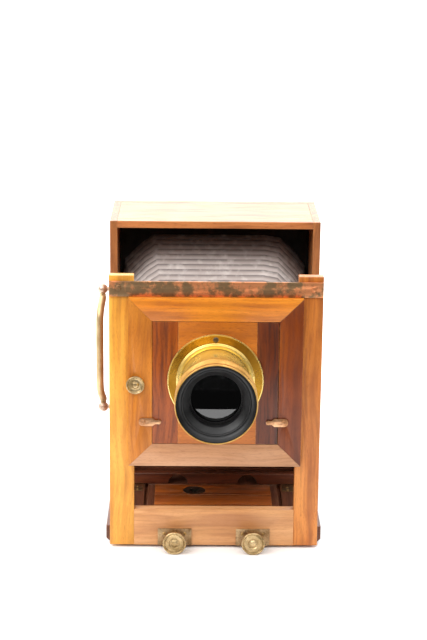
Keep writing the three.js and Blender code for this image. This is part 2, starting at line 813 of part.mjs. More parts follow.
// A ball-headed post screwed into the side, bored upright for the handle's end.
function handlePost(z) {
  const ball = new THREE.SphereGeometry(HANDLE.ball, 16, 10);
  ball.translate(handleX, handleY, z);
  const stem = rodX(postShank, [handleX, -boxHalf + 6], handleY, z, 16);
  const collar = rodX(4.6, [-boxHalf - 1.8, -boxHalf], handleY, z, 20);
  const inward = z < HANDLE.z ? [z - 1, z + HANDLE.ball + 1] : [z - HANDLE.ball - 1, z + 1];
  const bore = rodZ(HANDLE.neck + GAP, handleX, handleY, inward, 16);
  return solid(ball).add(stem).add(collar).subtract(bore);
}

// The bail: straight grip, two bends, and necks that stand in the bores of the balls.
function handleBail() {
  const half = HANDLE.span / 2;
  const deep = HANDLE.depth;
  const start = half - HANDLE.ball + 2.4;
  const route = new THREE.CurvePath();
  const at = (out, up) => new THREE.Vector3(-out, 0, up);
  const bend = (a, b, c, d) => route.add(new THREE.CubicBezierCurve3(a, b, c, d));
  bend(at(0, -start + 3), at(0, -start + 8), at(deep, -half + 11), at(deep, -half + 26));
  route.add(new THREE.LineCurve3(at(deep, -half + 26), at(deep, half - 26)));
  bend(at(deep, half - 26), at(deep, half - 11), at(0, start - 8), at(0, start - 3));
  const section = new THREE.Shape();
  section.absarc(0, 0, HANDLE.bar, 0, 2 * Math.PI);
  const sweep = { extrudePath: route, steps: 26, curveSegments: 5, bevelEnabled: false };
  const grip = new THREE.ExtrudeGeometry(section, sweep);
  let bail = solid(grip);
  for (const end of [-1, 1]) {
    const neck = end < 0 ? [-start, -start + 6] : [start - 6, start];
    bail = bail.add(rodZ(HANDLE.neck, 0, 0, neck, 16));
  }
  return bail.rotate([0, 0, HANDLE.turn]).translate([handleX, handleY, HANDLE.z]);
}

for (const [name, side] of Object.entries(SIDES)) add(`box_side_${name}`, boxSide(side), walnut);
add("box_lid", block([-boxInner, boxInner], [boxFront, boxRear], [lidBottom, boxTop]), walnut);
add("box_front_rail", boxRail(), darkWalnut);
add("box_floor", boxFloor(), darkWalnut);
add("back_frame", backFrameBoard(), walnut);
add("handle_post_lower", handlePost(handleBalls[0]), brass);
add("handle_post_upper", handlePost(handleBalls[1]), brass);
add("handle_bail", handleBail(), brass);

// ---------------------------------------------------------------- focusing screen

const screenFront = boxRear + GAP;
const screenBack = screenFront + SCREEN.thickness;
const screenBottom = BED.thickness + SCREEN.clear;
const screenHalf = boxHalf - GAP;
const glassHalf = screenHalf - SCREEN.member + SCREEN.rebate;
const glassZ = [screenBottom + SCREEN.member - SCREEN.rebate, boxTop - SCREEN.member + SCREEN.rebate];

function screenFrame() {
  const span = [screenFront, screenBack];
  const openHalfWidth = screenHalf - SCREEN.member;
  const open = [screenBottom + SCREEN.member, boxTop - SCREEN.member];
  const frame = windowFrame(screenHalf, [screenBottom, boxTop], openHalfWidth, open, span);
  const rebateHalf = glassHalf + SEAM;
  const rebateDepth = [screenFront - 1, screenFront + SCREEN.glass + 0.1];
  const rebate = block([-rebateHalf, rebateHalf], rebateDepth, [glassZ[0] - SEAM, glassZ[1] + SEAM]);
  return frame.subtract(rebate).subtract(screenPullHole());
}

const screenPullX = -screenHalf + SCREEN.member / 2;
const screenPullZ = (screenBottom + boxTop) / 2;
const screenPullHole = () => rodY(1.8, screenPullX, [screenBack - 6, screenBack + 1], screenPullZ, 16);

// A small turned pull on the free side of the screen frame.
function screenPull() {
  const profile = [
    [0, -5],
    [1.5, -5],
    [1.5, 0.1],
    [4, 0.1],
    [4, 1],
    [2.2, 2],
    [2.2, 4.5],
    [SCREEN.pull, 7],
    [SCREEN.pull, 8.5],
    [4, 10.4],
    [0, 11],
  ];
  return turnedY(profile, 0, 0, 0, 16).rotate([0, 0, 180]).translate([screenPullX, screenBack, screenPullZ]);
}

// Butt hinges at the right-hand corner. The box's leaf has the lower half of the knuckle and the pin, and
// the frame's leaf has the upper half, bored to turn on that pin.
const hingeX = boxHalf + SCREEN_HINGE.knuckle;
const hingeY = boxRear + GAP / 2;
const hingeHeights = {
  lower: screenBottom + SCREEN_HINGE.fromEnd,
  upper: boxTop - SCREEN_HINGE.fromEnd,
};

function hingeLeaf(z, onBox) {
  const { knuckle, plate, leaf, height, pin } = SCREEN_HINGE;
  const half = height / 2;
  const face = onBox ? boxHalf : screenHalf;
  const span = onBox ? [hingeY - leaf, hingeY - GAP] : [hingeY + GAP, screenBack];
  const own = onBox ? [z - half, z - 0.1] : [z + 0.1, z + half];
  const other = onBox ? [z - 0.1, z + half + 1] : [z - half - 1, z + 0.1];
  const leafPlate = block([face, face + plate], span, [z - half, z + half]);
  const clear = rodZ(knuckle + GAP, hingeX, hingeY, other, 16);
  const barrel = rodZ(knuckle, hingeX, hingeY, own, 16);
  const joined = leafPlate.subtract(clear).add(barrel);
  if (onBox) return joined.add(rodZ(pin, hingeX, hingeY, [z - half, z + half], 12));
  return joined.subtract(rodZ(pin + 0.2, hingeX, hingeY, [z - half, z + half + 1], 12));
}

for (const [name, z] of Object.entries(hingeHeights)) {
  add(`screen_hinge_${name}`, hingeLeaf(z, true), brass);
  add(`screen_leaf_${name}`, hingeLeaf(z, false), brass);
}
add("screen_frame", screenFrame(), walnut);
const glassDepth = [screenFront, screenFront + SCREEN.glass];
add("ground_glass", block([-glassHalf, glassHalf], glassDepth, glassZ), screenGlass);
add("screen_pull", screenPull(), brass);

// ---------------------------------------------------------------- bellows

function bellowsOutline({ halfWidth, low, high, chamfer }, inward) {
  const x = halfWidth - inward;
  const z = (low + high) / 2;
  const up = (high - low) / 2 - inward;
  const cut = chamfer - inward * (2 - Math.SQRT2);
  return [
    [x - cut, z + up],
    [-x + cut, z + up],
    [-x, z + up - cut],
    [-x, z - up + cut],
    [-x + cut, z - up],
    [x - cut, z - up],
    [x, z - up + cut],
    [x, z + up - cut],
  ];
}

// The stretch of the bellows between two shares of its length.
function bellowsSection(shareA, shareB) {
  const { front, rear } = bellowsEnds;
  const y = (share) => THREE.MathUtils.lerp(bellowsFront, bellowsRear, share);
  const size = (share) => Object.fromEntries(
    Object.keys(front).map((key) => [key, THREE.MathUtils.lerp(front[key], rear[key], share)]),
  );
  const skin = loft(bellowsOutline(size(shareA), 0), y(shareA), bellowsOutline(size(shareB), 0), y(shareB));
  const hollow = loft(
    bellowsOutline(size(shareA), BELLOWS.wall),
    y(shareA) - 0.01,
    bellowsOutline(size(shareB), BELLOWS.wall),
    y(shareB) + 0.01,
  );
  return skin.subtract(hollow);
}

add("bellows_front", bellowsSection(0, bellowsShare), bellowsCloth);
add("bellows_rear", bellowsSection(bellowsShare + BELLOWS.seam, 1), bellowsCloth);

export default camera;
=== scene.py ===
"""A large format view camera: walnut upright, rising panel and lens, pleated bellows, sliding rear box."""

import json
import logging
import math
from collections.abc import Iterable, Sequence
from dataclasses import dataclass
from enum import Enum

import bmesh
import bpy
from mathutils import Matrix, Vector

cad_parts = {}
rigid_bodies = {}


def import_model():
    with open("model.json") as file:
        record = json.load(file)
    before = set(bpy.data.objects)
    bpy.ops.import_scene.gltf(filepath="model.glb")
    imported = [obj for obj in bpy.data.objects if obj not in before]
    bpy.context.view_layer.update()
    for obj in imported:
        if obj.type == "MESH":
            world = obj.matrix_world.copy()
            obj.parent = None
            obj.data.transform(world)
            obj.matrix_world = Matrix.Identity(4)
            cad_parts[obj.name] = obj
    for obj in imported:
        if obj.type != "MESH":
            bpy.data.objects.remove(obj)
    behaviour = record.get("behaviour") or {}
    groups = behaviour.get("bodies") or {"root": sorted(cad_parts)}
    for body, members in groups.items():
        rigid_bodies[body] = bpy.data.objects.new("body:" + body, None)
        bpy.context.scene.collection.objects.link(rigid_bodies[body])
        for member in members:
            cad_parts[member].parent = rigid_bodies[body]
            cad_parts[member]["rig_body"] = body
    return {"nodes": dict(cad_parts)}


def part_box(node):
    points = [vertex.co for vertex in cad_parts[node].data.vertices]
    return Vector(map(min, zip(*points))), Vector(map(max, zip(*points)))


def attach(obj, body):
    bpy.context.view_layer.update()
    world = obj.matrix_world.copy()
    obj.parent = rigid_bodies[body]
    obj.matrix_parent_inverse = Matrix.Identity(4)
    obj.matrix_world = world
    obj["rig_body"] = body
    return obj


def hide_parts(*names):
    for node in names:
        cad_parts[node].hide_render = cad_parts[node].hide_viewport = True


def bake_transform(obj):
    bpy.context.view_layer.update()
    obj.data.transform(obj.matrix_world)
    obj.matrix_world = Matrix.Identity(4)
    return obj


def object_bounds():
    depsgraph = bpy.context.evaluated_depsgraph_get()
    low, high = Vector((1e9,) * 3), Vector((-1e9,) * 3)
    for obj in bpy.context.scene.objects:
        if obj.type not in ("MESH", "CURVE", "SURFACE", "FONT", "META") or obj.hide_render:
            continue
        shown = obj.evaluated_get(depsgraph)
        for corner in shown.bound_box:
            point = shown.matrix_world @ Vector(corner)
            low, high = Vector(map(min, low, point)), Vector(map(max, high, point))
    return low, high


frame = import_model()
CAD_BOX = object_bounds()

MM = 0.001
LOG = logging.getLogger("view_camera")
Point = tuple[float, float]
Socket = bpy.types.NodeSocket


# ---------------------------------------------------------------- colours and node helpers


def linear(colour: str) -> tuple[float, float, float, float]:
    """Turns an sRGB hex colour into linear RGBA.

    Args:
        colour: six hex digits, such as "c98a4b".

    Returns:
        Red, green, blue and an alpha of 1, in linear light.
    """
    values = [int(colour[i : i + 2], 16) / 255 for i in (0, 2, 4)]
    bent = [v / 12.92 if v <= 0.04045 else ((v + 0.055) / 1.055) ** 2.4 for v in values]
    return (bent[0], bent[1], bent[2], 1.0)


def add(tree: bpy.types.NodeTree, kind: str, inputs: dict | None = None, **settings) -> bpy.types.Node:
    """Adds a node, sets its properties, and sets or links its inputs.

    Args:
        tree: the material, world or geometry tree.
        kind: the node's type.
        inputs: input name or number to a value, or to the output socket that feeds it.
        settings: properties of the node itself.

    Returns:
        The new node.
    """
    node = tree.nodes.new(kind)
    for name, value in settings.items():
        setattr(node, name, value)
    for name, value in (inputs or {}).items():
        if isinstance(value, bpy.types.NodeSocket):
            tree.links.new(value, node.inputs[name])
        else:
            node.inputs[name].default_value = value
    return node


def ramp(tree: bpy.types.NodeTree, factor: Socket, stops: Sequence[tuple[float, str]]) -> Socket:
    """Adds a colour ramp with the given stops.

    Args:
        tree: the material's tree.
        factor: the socket that drives the ramp.
        stops: place and hex colour of each stop.

    Returns:
        The ramp's colour output.
    """
    node = add(tree, "ShaderNodeValToRGB", {"Fac": factor})
    band = node.color_ramp
    while len(band.elements) < len(stops):
        band.elements.new(0.5)
    for element, (place, colour) in zip(band.elements, stops):
        element.position = place
        element.color = linear(colour)
    return node.outputs["Color"]


def remap(tree: bpy.types.NodeTree, value: Socket, span: Point, to: Point) -> Socket:
    """Maps a value from one span to another, clamped.

    Args:
        tree: the tree.
        value: the socket to map.
        span: lowest and highest value coming in.
        to: the values that they become.

    Returns:
        The mapped value's socket.
    """
    ends = {"Value": value, "From Min": span[0], "From Max": span[1], "To Min": to[0], "To Max": to[1]}
    return add(tree, "ShaderNodeMapRange", ends).outputs["Result"]


def mixed(tree: bpy.types.NodeTree, factor: object, a: object, b: object) -> Socket:
    """Mixes two colours.

    Args:
        tree: the tree.
        factor: value or socket, 0 for a and 1 for b.
        a: first colour, or its socket.
        b: second colour, or its socket.

    Returns:
        The mixed colour's socket.
    """
    return add(tree, "ShaderNodeMix", {0: factor, 6: a, 7: b}, data_type="RGBA").outputs[2]


def noise(
    tree: bpy.types.NodeTree, vector: Socket, scale: float, detail: float = 2.0, **extra: float
) -> Socket:
    """Adds a noise texture and gives its grey value.

    Args:
        tree: the material's tree.
        vector: coordinates.
        scale: features per unit of the coordinates.
        detail: octaves.
        extra: other inputs by name, such as Distortion.

    Returns:
        The noise value's socket.
    """
    inputs = {"Vector": vector, "Scale": scale, "Detail": detail, **extra}
    return add(tree, "ShaderNodeTexNoise", inputs).outputs["Fac"]


def shader(name: str, **values: object) -> tuple[bpy.types.Material, bpy.types.NodeTree, bpy.types.Node]:
    """Makes a material with one Principled shader.

    Args:
        name: the material's name.
        values: constants for the shader's sockets, with _ for a space.

    Returns:
        The material, its tree and the shader node.
    """
    material = bpy.data.materials.new(name)
    material.use_nodes = True
    tree = material.node_tree
    surface = tree.nodes["Principled BSDF"]
    for socket, value in values.items():
        surface.inputs[socket.replace("_", " ")].default_value = value
    return material, tree, surface


def edge_wear(tree: bpy.types.NodeTree, radius: float) -> Socket:
    """Finds outer edges within a radius, in metres, and breaks them up with a fine noise.

    Args:
        tree: the material's tree.
        radius: how far from an edge the wear reaches.

    Returns:
        A value that is 0 on the flat and 1 on a worn edge.
    """
    soft = add(tree, "ShaderNodeBevel", {"Radius": radius}, samples=4).outputs["Normal"]
    flat = add(tree, "ShaderNodeNewGeometry").outputs["Normal"]
    same = add(tree, "ShaderNodeVectorMath", {0: soft, 1: flat}, operation="DOT_PRODUCT").outputs["Value"]
    edge = remap(tree, same, (0.995, 0.9), (0.0, 1.0))
    place = add(tree, "ShaderNodeTexCoord").outputs["Object"]
    broken = remap(tree, noise(tree, place, 260.0, 3.0), (0.35, 0.65), (0.0, 1.0))
    return add(tree, "ShaderNodeMath", {0: edge, 1: broken}, operation="MULTIPLY").outputs["Value"]


# ---------------------------------------------------------------- finishes


class Grain(Enum):
    """The way a board's grain runs, as the turn that brings it to X."""

    ACROSS = (0.0, 0.0, 0.0)
    DEEP = (0.0, 0.0, math.radians(90))
    UPRIGHT = (0.0, math.radians(90), 0.0)


@dataclass(frozen=True)
class Walnut:
    """Oiled and waxed walnut: open pores, darker growth bands, a soft shine, and paler where it is worn.

    The bands are about 9 mm wide, the streaks 2 mm and the pores 0.4 mm by 5 mm. The pores are drawn a little
    wider than real ones, so that they show.
    """

    name: str
    light: str
    middle: str
    dark: str
    grain: Grain = Grain.ACROSS
    seed: float = 0.0
    bands: float = 0.5
    streaks: float = 0.4
    speckle: float = 0.35
    roughness: float = 0.36
    worn: str = "d49a5c"
    wear: float = 0.35

    def material(self) -> bpy.types.Material:
        """Builds the material, once for each name."""
        made = bpy.data.materials.get(self.name)
        if made:
            return made
        wax = {"Coat_Weight": 0.06, "Coat_Roughness": 0.3, "Specular_IOR_Level": 0.4}
        material, tree, surface = shader(self.name, **wax)
        place = add(tree, "ShaderNodeTexCoord").outputs["Object"]
        shift = (0.37 * self.seed, 0.19 * self.seed, 0.11 * self.seed)
        turn = {"Vector": place, "Rotation": self.grain.value, "Location": shift}
        along = add(tree, "ShaderNodeMapping", turn).outputs["Vector"]
        slow = {"Vector": along, "Scale": 9.0, "Detail": 1.0}
        sway = add(tree, "ShaderNodeTexNoise", slow).outputs["Color"]
        swayed = add(tree, "ShaderNodeVectorMath", {0: sway, 1: (0.004, 0.016, 0.016)}, operation="MULTIPLY")
        bent = add(tree, "ShaderNodeVectorMath", {0: along, 1: swayed.outputs[0]}, operation="ADD").outputs[0]
        long_grain = {"Vector": bent, "Scale": (0.045, 1.0, 1.0)}
        stretch = add(tree, "ShaderNodeMapping", long_grain).outputs["Vector"]
        band = noise(tree, stretch, 105.0, 2.0)
        streak = noise(tree, stretch, 420.0, 3.0, Distortion=0.3)
        short_grain = {"Vector": bent, "Scale": (0.09, 1.0, 1.0)}
        fine = add(tree, "ShaderNodeMapping", short_grain).outputs["Vector"]
        pore = remap(tree, noise(tree, fine, 2100.0, 1.0), (0.56, 0.68), (0.0, 1.0))
        cloud = noise(tree, along, 22.0, 3.0)
        tone = ramp(tree, band, ((0.34, self.light), (0.52, self.middle), (0.68, self.dark)))
        base = mixed(tree, self.bands, linear(self.middle), tone)
        lines = remap(tree, streak, (0.45, 0.7), (0.0, self.streaks))
        lined = mixed(tree, lines, base, linear(self.dark))
        bloom = remap(tree, cloud, (0.35, 0.7), (0.0, 0.35))
        bloomed = mixed(tree, bloom, lined, linear(self.light))
        speck = add(tree, "ShaderNodeMath", {0: pore, 1: self.speckle}, operation="MULTIPLY").outputs["Value"]
        pored = mixed(tree, speck, bloomed, linear(self.dark))
        rubbed = add(tree, "ShaderNodeMath", {0: edge_wear(tree, 0.0012), 1: self.wear}, operation="MULTIPLY")
        colour = mixed(tree, rubbed.outputs["Value"], pored, linear(self.worn))
        rough = remap(tree, streak, (0.3, 0.7), (self.roughness - 0.06, self.roughness + 0.08))
        relief = add(tree, "ShaderNodeMath", {0: streak, 1: pore}, operation="SUBTRACT").outputs["Value"]
        bump = {"Height": relief, "Strength": 0.16, "Distance": 0.0002}
        tree.links.new(colour, surface.inputs["Base Color"])
        tree.links.new(rough, surface.inputs["Roughness"])
        tree.links.new(add(tree, "ShaderNodeBump", bump).outputs["Normal"], surface.inputs["Normal"])
        return material


@dataclass(frozen=True)
class Brass:
    """Cast and turned brass that has been handled: a metal ground with duller, browner patches of tarnish.

    The patches are 6 to 20 mm across and the fine scratches about 0.3 mm.
    """

    name: str
    bright: str
    dull: str
    stain: str
    roughness: float = 0.34
    tarnish: float = 0.5
    patch: float = 90.0
    metal: float = 1.0
    scratch: float = 0.12
    blotch: Point = (0.38, 0.64)

    def material(self) -> bpy.types.Material:
        """Builds the material, once for each name."""
        made = bpy.data.materials.get(self.name)
        if made:
            return made
        material, tree, surface = shader(self.name, Metallic=self.metal)
        place = add(tree, "ShaderNodeTexCoord").outputs["Object"]
        patches = noise(tree, place, self.patch, 4.0, Roughness=0.62)
        spots = remap(tree, noise(tree, place, self.patch * 4.6, 3.0), (0.52, 0.72), (0.0, self.tarnish))
        dulled = remap(tree, patches, self.blotch, (0.0, 1.0))
        tone = mixed(tree, dulled, linear(self.bright), linear(self.dull))
        stained = mixed(tree, spots, tone, linear(self.stain))
        rub = mixed(tree, edge_wear(tree, 0.0007), stained, linear(self.bright))
        grit = noise(tree, place, 3300.0, 2.0)
        rough = remap(tree, patches, (0.3, 0.7), (self.roughness - 0.07, self.roughness + 0.12))
        bump = {"Height": grit, "Strength": self.scratch, "Distance": 0.0001}
        tree.links.new(rub, surface.inputs["Base Color"])
        tree.links.new(rough, surface.inputs["Roughness"])
        tree.links.new(add(tree, "ShaderNodeBump", bump).outputs["Normal"], surface.inputs["Normal"])
        return material


@dataclass(frozen=True)
class Enamel:
    """Baked black enamel on brass: even, a little chalky with age, with fine dust."""

    name: str
    colour: str
    worn: str
    roughness: float = 0.42

    def material(self) -> bpy.types.Material:
        """Builds the material, once for each name."""
        made = bpy.data.materials.get(self.name)
        if made:
            return made
        material, tree, surface = shader(self.name)
        place = add(tree, "ShaderNodeTexCoord").outputs["Object"]
        dust = remap(tree, noise(tree, place, 700.0, 4.0), (0.5, 0.75), (0.0, 0.35))
        colour = mixed(tree, dust, linear(self.colour), linear(self.worn))
        handled = noise(tree, place, 120.0, 3.0)
        rough = remap(tree, handled, (0.3, 0.7), (self.roughness - 0.06, self.roughness + 0.1))
        grain = {"Height": noise(tree, place, 2600.0, 2.0), "Strength": 0.1, "Distance": 0.0001}
        tree.links.new(colour, surface.inputs["Base Color"])
        tree.links.new(rough, surface.inputs["Roughness"])
        tree.links.new(add(tree, "ShaderNodeBump", grain).outputs["Normal"], surface.inputs["Normal"])
        return material


@dataclass(frozen=True)
class Glass:
    """Polished or ground glass. Optical glass is dense, so it reflects more than window glass does."""

    name: str
    colour: str
    roughness: float
    ior: float
    transmission: float = 1.0
    grit: float = 0.0
    haze: str = "282828"

    def material(self) -> bpy.types.Material:
        """Builds the material, once for each name."""
        made = bpy.data.materials.get(self.name)
        if made:
            return made
        material, tree, surface = shader(self.name, IOR=self.ior, Transmission_Weight=self.transmission)
        place = add(tree, "ShaderNodeTexCoord").outputs["Object"]
        film = noise(tree, place, 60.0, 3.0)
        tint = mixed(tree, remap(tree, film, (0.4, 0.8), (0.0, 0.12)), linear(self.colour), linear(self.haze))
        rough = remap(tree, film, (0.3, 0.8), (self.roughness, self.roughness + 0.02))
        tree.links.new(tint, surface.inputs["Base Color"])
        tree.links.new(rough, surface.inputs["Roughness"])
        if self.grit:
            ground = {"Height": noise(tree, place, 4200.0, 2.0), "Strength": self.grit, "Distance": 0.00005}
            tree.links.new(add(tree, "ShaderNodeBump", ground).outputs["Normal"], surface.inputs["Normal"])
        return material


@dataclass(frozen=True)
class BellowsCloth:
    """Black leathercloth faded to warm grey: painted shade in the folds, a painted highlight on the crests,
    and a pebble of 0.8 mm.
    """

    name: str = "faded_leathercloth_shaded_folds"
    # fold: painted shade, darkening the cloth in the valleys of the pleats.
    fold: str = "4a413e"
    # face: the faded cloth's own grey, also painted paler to stand in for light on the pleats.
    face: str = "a89b95"
    # crest: a painted highlight along the pleats' crests; the scuffs are lightened towards it too.
    crest: str = "f2e8e0"

    def material(self) -> bpy.types.Material:
        """Builds the material, once for each name."""
        made = bpy.data.materials.get(self.name)
        if made:
            return made
        material, tree, surface = shader(self.name, Sheen_Weight=0.25, Sheen_Roughness=0.5)
        place = add(tree, "ShaderNodeTexCoord").outputs["Object"]
        height = add(tree, "ShaderNodeAttribute", attribute_name="crest").outputs["Fac"]
        # The ramp paints shade into the folds and a highlight onto the crests, following each point's height.
        tone = ramp(tree, height, ((0.0, self.fold), (0.3, self.face), (0.9, self.face), (1.0, self.crest)))
        cloud = remap(tree, noise(tree, place, 45.0, 4.0), (0.35, 0.7), (0.0, 0.35))
        dust_and_painted_folds = mixed(tree, cloud, tone, linear("7d6f67"))
        scuff = remap(tree, noise(tree, place, 110.0, 5.0), (0.5, 0.8), (0.0, 0.3))
        # Scuffs of wear, lightened towards the painted crest highlight colour.
        colour = mixed(tree, scuff, dust_and_painted_folds, linear(self.crest))
        pebble = add(tree, "ShaderNodeTexVoronoi", {"Vector": place, "Scale": 1250.0}).outputs["Distance"]
        bump = {"Height": pebble, "Strength": 0.35, "Distance": 0.0002}
        rough = remap(tree, noise(tree, place, 300.0, 2.0), (0.3, 0.7), (0.5, 0.68))
        tree.links.new(colour, surface.inputs["Base Color"])
        tree.links.new(rough, surface.inputs["Roughness"])
        tree.links.new(add(tree, "ShaderNodeBump", bump).outputs["Normal"], surface.inputs["Normal"])
        return material


# AMBER and PINK: the left stile is partly paler amber wood and partly painted light falling from the left; the
# right stile is partly darker wood and partly painted shade.
AMBER = Walnut("walnut_amber_stile", "f0b54c", "dd9636", "a66222", Grain.UPRIGHT, 1.0, 0.6, 0.35)
# TAN: the bottom rail's pale, washed tone is partly its own wood and partly a painted reflection of the bright
# floor below.
TAN = Walnut("walnut_tan_rail", "d5a170", "c38954", "9d643e", Grain.ACROSS, 2.0, 0.6, 0.45, 0.3)
PINK = Walnut("walnut_rosy_stile", "d88c42", "be6e2a", "8a481c", Grain.UPRIGHT, 3.0, 0.75, 0.6)
HONEY = Walnut("walnut_honey_rail", "ec9730", "d67b1b", "9a5014", Grain.ACROSS, 4.0, 0.55, 0.4)
HONEY_UP = Walnut("walnut_honey_stile", "d48c38", "bf7022", "884716", Grain.UPRIGHT, 5.0, 0.55, 0.45)
RUSSET_UP = Walnut("walnut_russet_stile", "8c4416", "74330c", "4c1e07", Grain.UPRIGHT, 6.0, 0.6, 0.5)
CLAY = Walnut("walnut_clay_rail", "c99976", "b6835b", "8a583c", Grain.ACROSS, 7.0, 0.55, 0.45)
CLEAT_LEFT = Walnut("walnut_cleat_left", "9c4c16", "823c0e", "381507", Grain.UPRIGHT, 8.0, 0.9, 0.7)
CLEAT_RIGHT = Walnut("walnut_cleat_right", "733411", "5d270b", "260e05", Grain.UPRIGHT, 9.0, 0.9, 0.75)
PANEL = Walnut("walnut_board_panel", "c87828", "b5641a", "864413", Grain.ACROSS, 10.0, 0.4, 0.3, 0.6)
BROWN_UP = Walnut("walnut_brown_side", "bd7a44", "a06236", "6a3a1e", Grain.UPRIGHT, 11.0, 0.7, 0.5)
BROWN = Walnut("walnut_brown_board", "d58b52", "b8703e", "7c4526", Grain.ACROSS, 12.0, 0.7, 0.5)
BED_BOARD = Walnut("walnut_bed_board", "ab5a1c", "8c4411", "531f08", Grain.ACROSS, 13.0, 0.8, 0.6)
BED_RAIL = Walnut("walnut_bed_rail", "6f3f26", "59301d", "331a12", Grain.DEEP, 14.0, 0.7, 0.5)
DARK = Walnut("walnut_dark_rail", "763d24", "5b2c19", "34170f", Grain.ACROSS, 15.0, 0.7, 0.5)

AGED_BRASS = Brass("aged_yellow_brass", "c1a37c", "8d6f4c", "523d29", 0.38, 0.6)
DISC_BRASS = Brass("turned_khaki_brass", "cbb185", "987f56", "5f4a2f", 0.32, 0.4)
CLIP_BRASS = Brass("coppery_clip_brass", "d8a880", "b07e58", "754d30", 0.36, 0.45)
HANDLE_BRASS = Brass("handled_brass", "cdb48a", "b2966c", "8a6d48", 0.36, 0.15, 40.0, 0.85, 0.06)
BALL_BRASS = Brass("pale_ball_brass", "cfb8a4", "b59c88", "8f7460", 0.34, 0.2, 90.0, 0.85, 0.06)
PATCHY = (0.44, 0.54)
COPPERY = Brass("coppery_strap_brass", "dd9160", "84694a", "5f503f", 0.46, 0.35, 62.0, 0.8, 0.12, PATCHY)
# Lacquered lens brass made nearly white: a painted highlight of the overhead light, on top of the metal's own
# colour.
LACQUERED_HIGHLIGHT = Brass("lacquered_lens_brass_painted_highlight", "fbe08f", "f0cc6c", "c4923c", 0.26, 0.08, 40.0, 0.85, 0.04)
FLANGE_BRASS = Brass("satin_flange_brass", "d8a23c", "a87826", "6f4a18", 0.26, 0.15, 30.0, 1.0, 0.05)
HOOD_BRASS = Brass("bronzed_hood_brass", "e2b466", "b4873f", "5f431f", 0.3, 0.2, 60.0, 0.9, 0.06)
SCREW_BRASS = Brass("small_screw_brass", "c09d68", "87683e", "4a361f", 0.34, 0.4)
STEEL = Brass("darkened_screw_steel", "7d7060", "544a3e", "2a2420", 0.4, 0.4)
BLACK = Enamel("black_hood_enamel", "0d0c0c", "2a2725", 0.4)
MATT_BLACK = Enamel("matt_black_lining", "060606", "12100f", 0.75)
# The lens glass is tinted almost black: painted shade for the dark inside of the lens and camera, not a colour
# of the glass.
LENS_GLASS_SHADE_DARK = Glass("dense_glass_painted_dark", "1c1c1c", 0.0, 1.85)
GROUND_GLASS = Glass("ground_screen_glass", "dfe6e4", 0.45, 1.52, 0.85, 0.5, "ffffff")


# ---------------------------------------------------------------- shaping helpers


def piece(
    name: str,
    mesh: bpy.types.Mesh,
    body: str,
    finishes: Sequence[object],
    replaces: Sequence[str] = (),
    ride: bool = True,
) -> bpy.types.Object:
    """Makes an object from a finished mesh, dresses it and ties it to the frame.

    Args:
        name: the piece's name.
        mesh: its mesh, already in place.
        body: the body that it rides on.
        finishes: one finish for each material number of the mesh.
        replaces: CAD nodes that the piece stands for.
        ride: False for a piece that is tied to no body.

    Returns:
        The object.
    """
    made = bpy.data.objects.new(name, mesh)
    bpy.context.scene.collection.objects.link(made)
    mesh.materials.clear()
    for finish in finishes:
        mesh.materials.append(finish.material())
    if replaces:
        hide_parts(*replaces)
    if ride:
        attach(made, body)
    LOG.info("%s: %d faces on %s", name, len(mesh.polygons), body)
    return made


def mesh_from(shape: bmesh.types.BMesh, name: str, smooth_under: float | None = 35.0) -> bpy.types.Mesh:
    """Turns a bmesh into a mesh with outward faces.

    Args:
        shape: the shape, which is freed.
        name: the mesh's name.
        smooth_under: edges sharper than this angle, in degrees, stay sharp; None for flat faces.

    Returns:
        The mesh.
    """
    bmesh.ops.recalc_face_normals(shape, faces=shape.faces)
    mesh = bpy.data.meshes.new(name)
    shape.to_mesh(mesh)
    shape.free()
    if smooth_under is not None:
        mesh.polygons.foreach_set("use_smooth", [True] * len(mesh.polygons))
        mesh.set_sharp_from_angle(angle=math.radians(smooth_under))
    return mesh


def softened(profile: Sequence[Point], radius: float) -> list[Point]:
    """Rounds the corners of an open outline.

    Args:
        profile: the corners, in millimetres.
        radius: how far along each side a corner is cut back.

    Returns:
        The outline with three points for each rounded corner.
    """
    out = [profile[0]]
    for before, corner, after in zip(profile, profile[1:], profile[2:]):
        c = Vector(corner)
        a, b = Vector(before) - c, Vector(after) - c
        if a.length < 1e-6 or b.length < 1e-6:
            continue
        reach = min(radius, 0.4 * a.length, 0.4 * b.length)
        p, q = c + a.normalized() * reach, c + b.normalized() * reach
        out += [tuple(p), tuple((p + q) * 0.25 + c * 0.5), tuple(q)]
    out.append(profile[-1])
    return out


def turned(
    profile: Sequence[Point], centre: Vector, axis: Vector, segments: int = 96, closed: bool = False
) -> bmesh.types.BMesh:
    """Turns an outline round an axis.

    Args:
        profile: distance from the axis and along it, in millimetres, from one end to the other.
        centre: where the axis starts, in metres.
        axis: its direction.
        segments: steps round it.
        closed: True if the outline joins its own start, as a ring's does.

    Returns:
        The turned shape.
    """
    shape = bmesh.new()
    turn = Vector((0, 0, 1)).rotation_difference(axis).to_matrix()
    rings = []
    for radius, along in profile:
        if radius < 1e-6:
            rings.append([shape.verts.new(centre + turn @ Vector((0, 0, along * MM)))])
            continue
        angles = (2 * math.pi * i / segments for i in range(segments))
        spots = (Vector((radius * math.cos(a), radius * math.sin(a), along)) * MM for a in angles)
        rings.append([shape.verts.new(centre + turn @ spot) for spot in spots])
    pairs = list(zip(rings, rings[1:]))
    if closed:
        pairs.append((rings[-1], rings[0]))
    for one, two in pairs:
        for i in range(segments):
            j = (i + 1) % segments
            corners = [one[i % len(one)], one[j % len(one)], two[j % len(two)], two[i % len(two)]]
            unique = list(dict.fromkeys(corners))
            if len(unique) > 2:
                shape.faces.new(unique)
    return shape


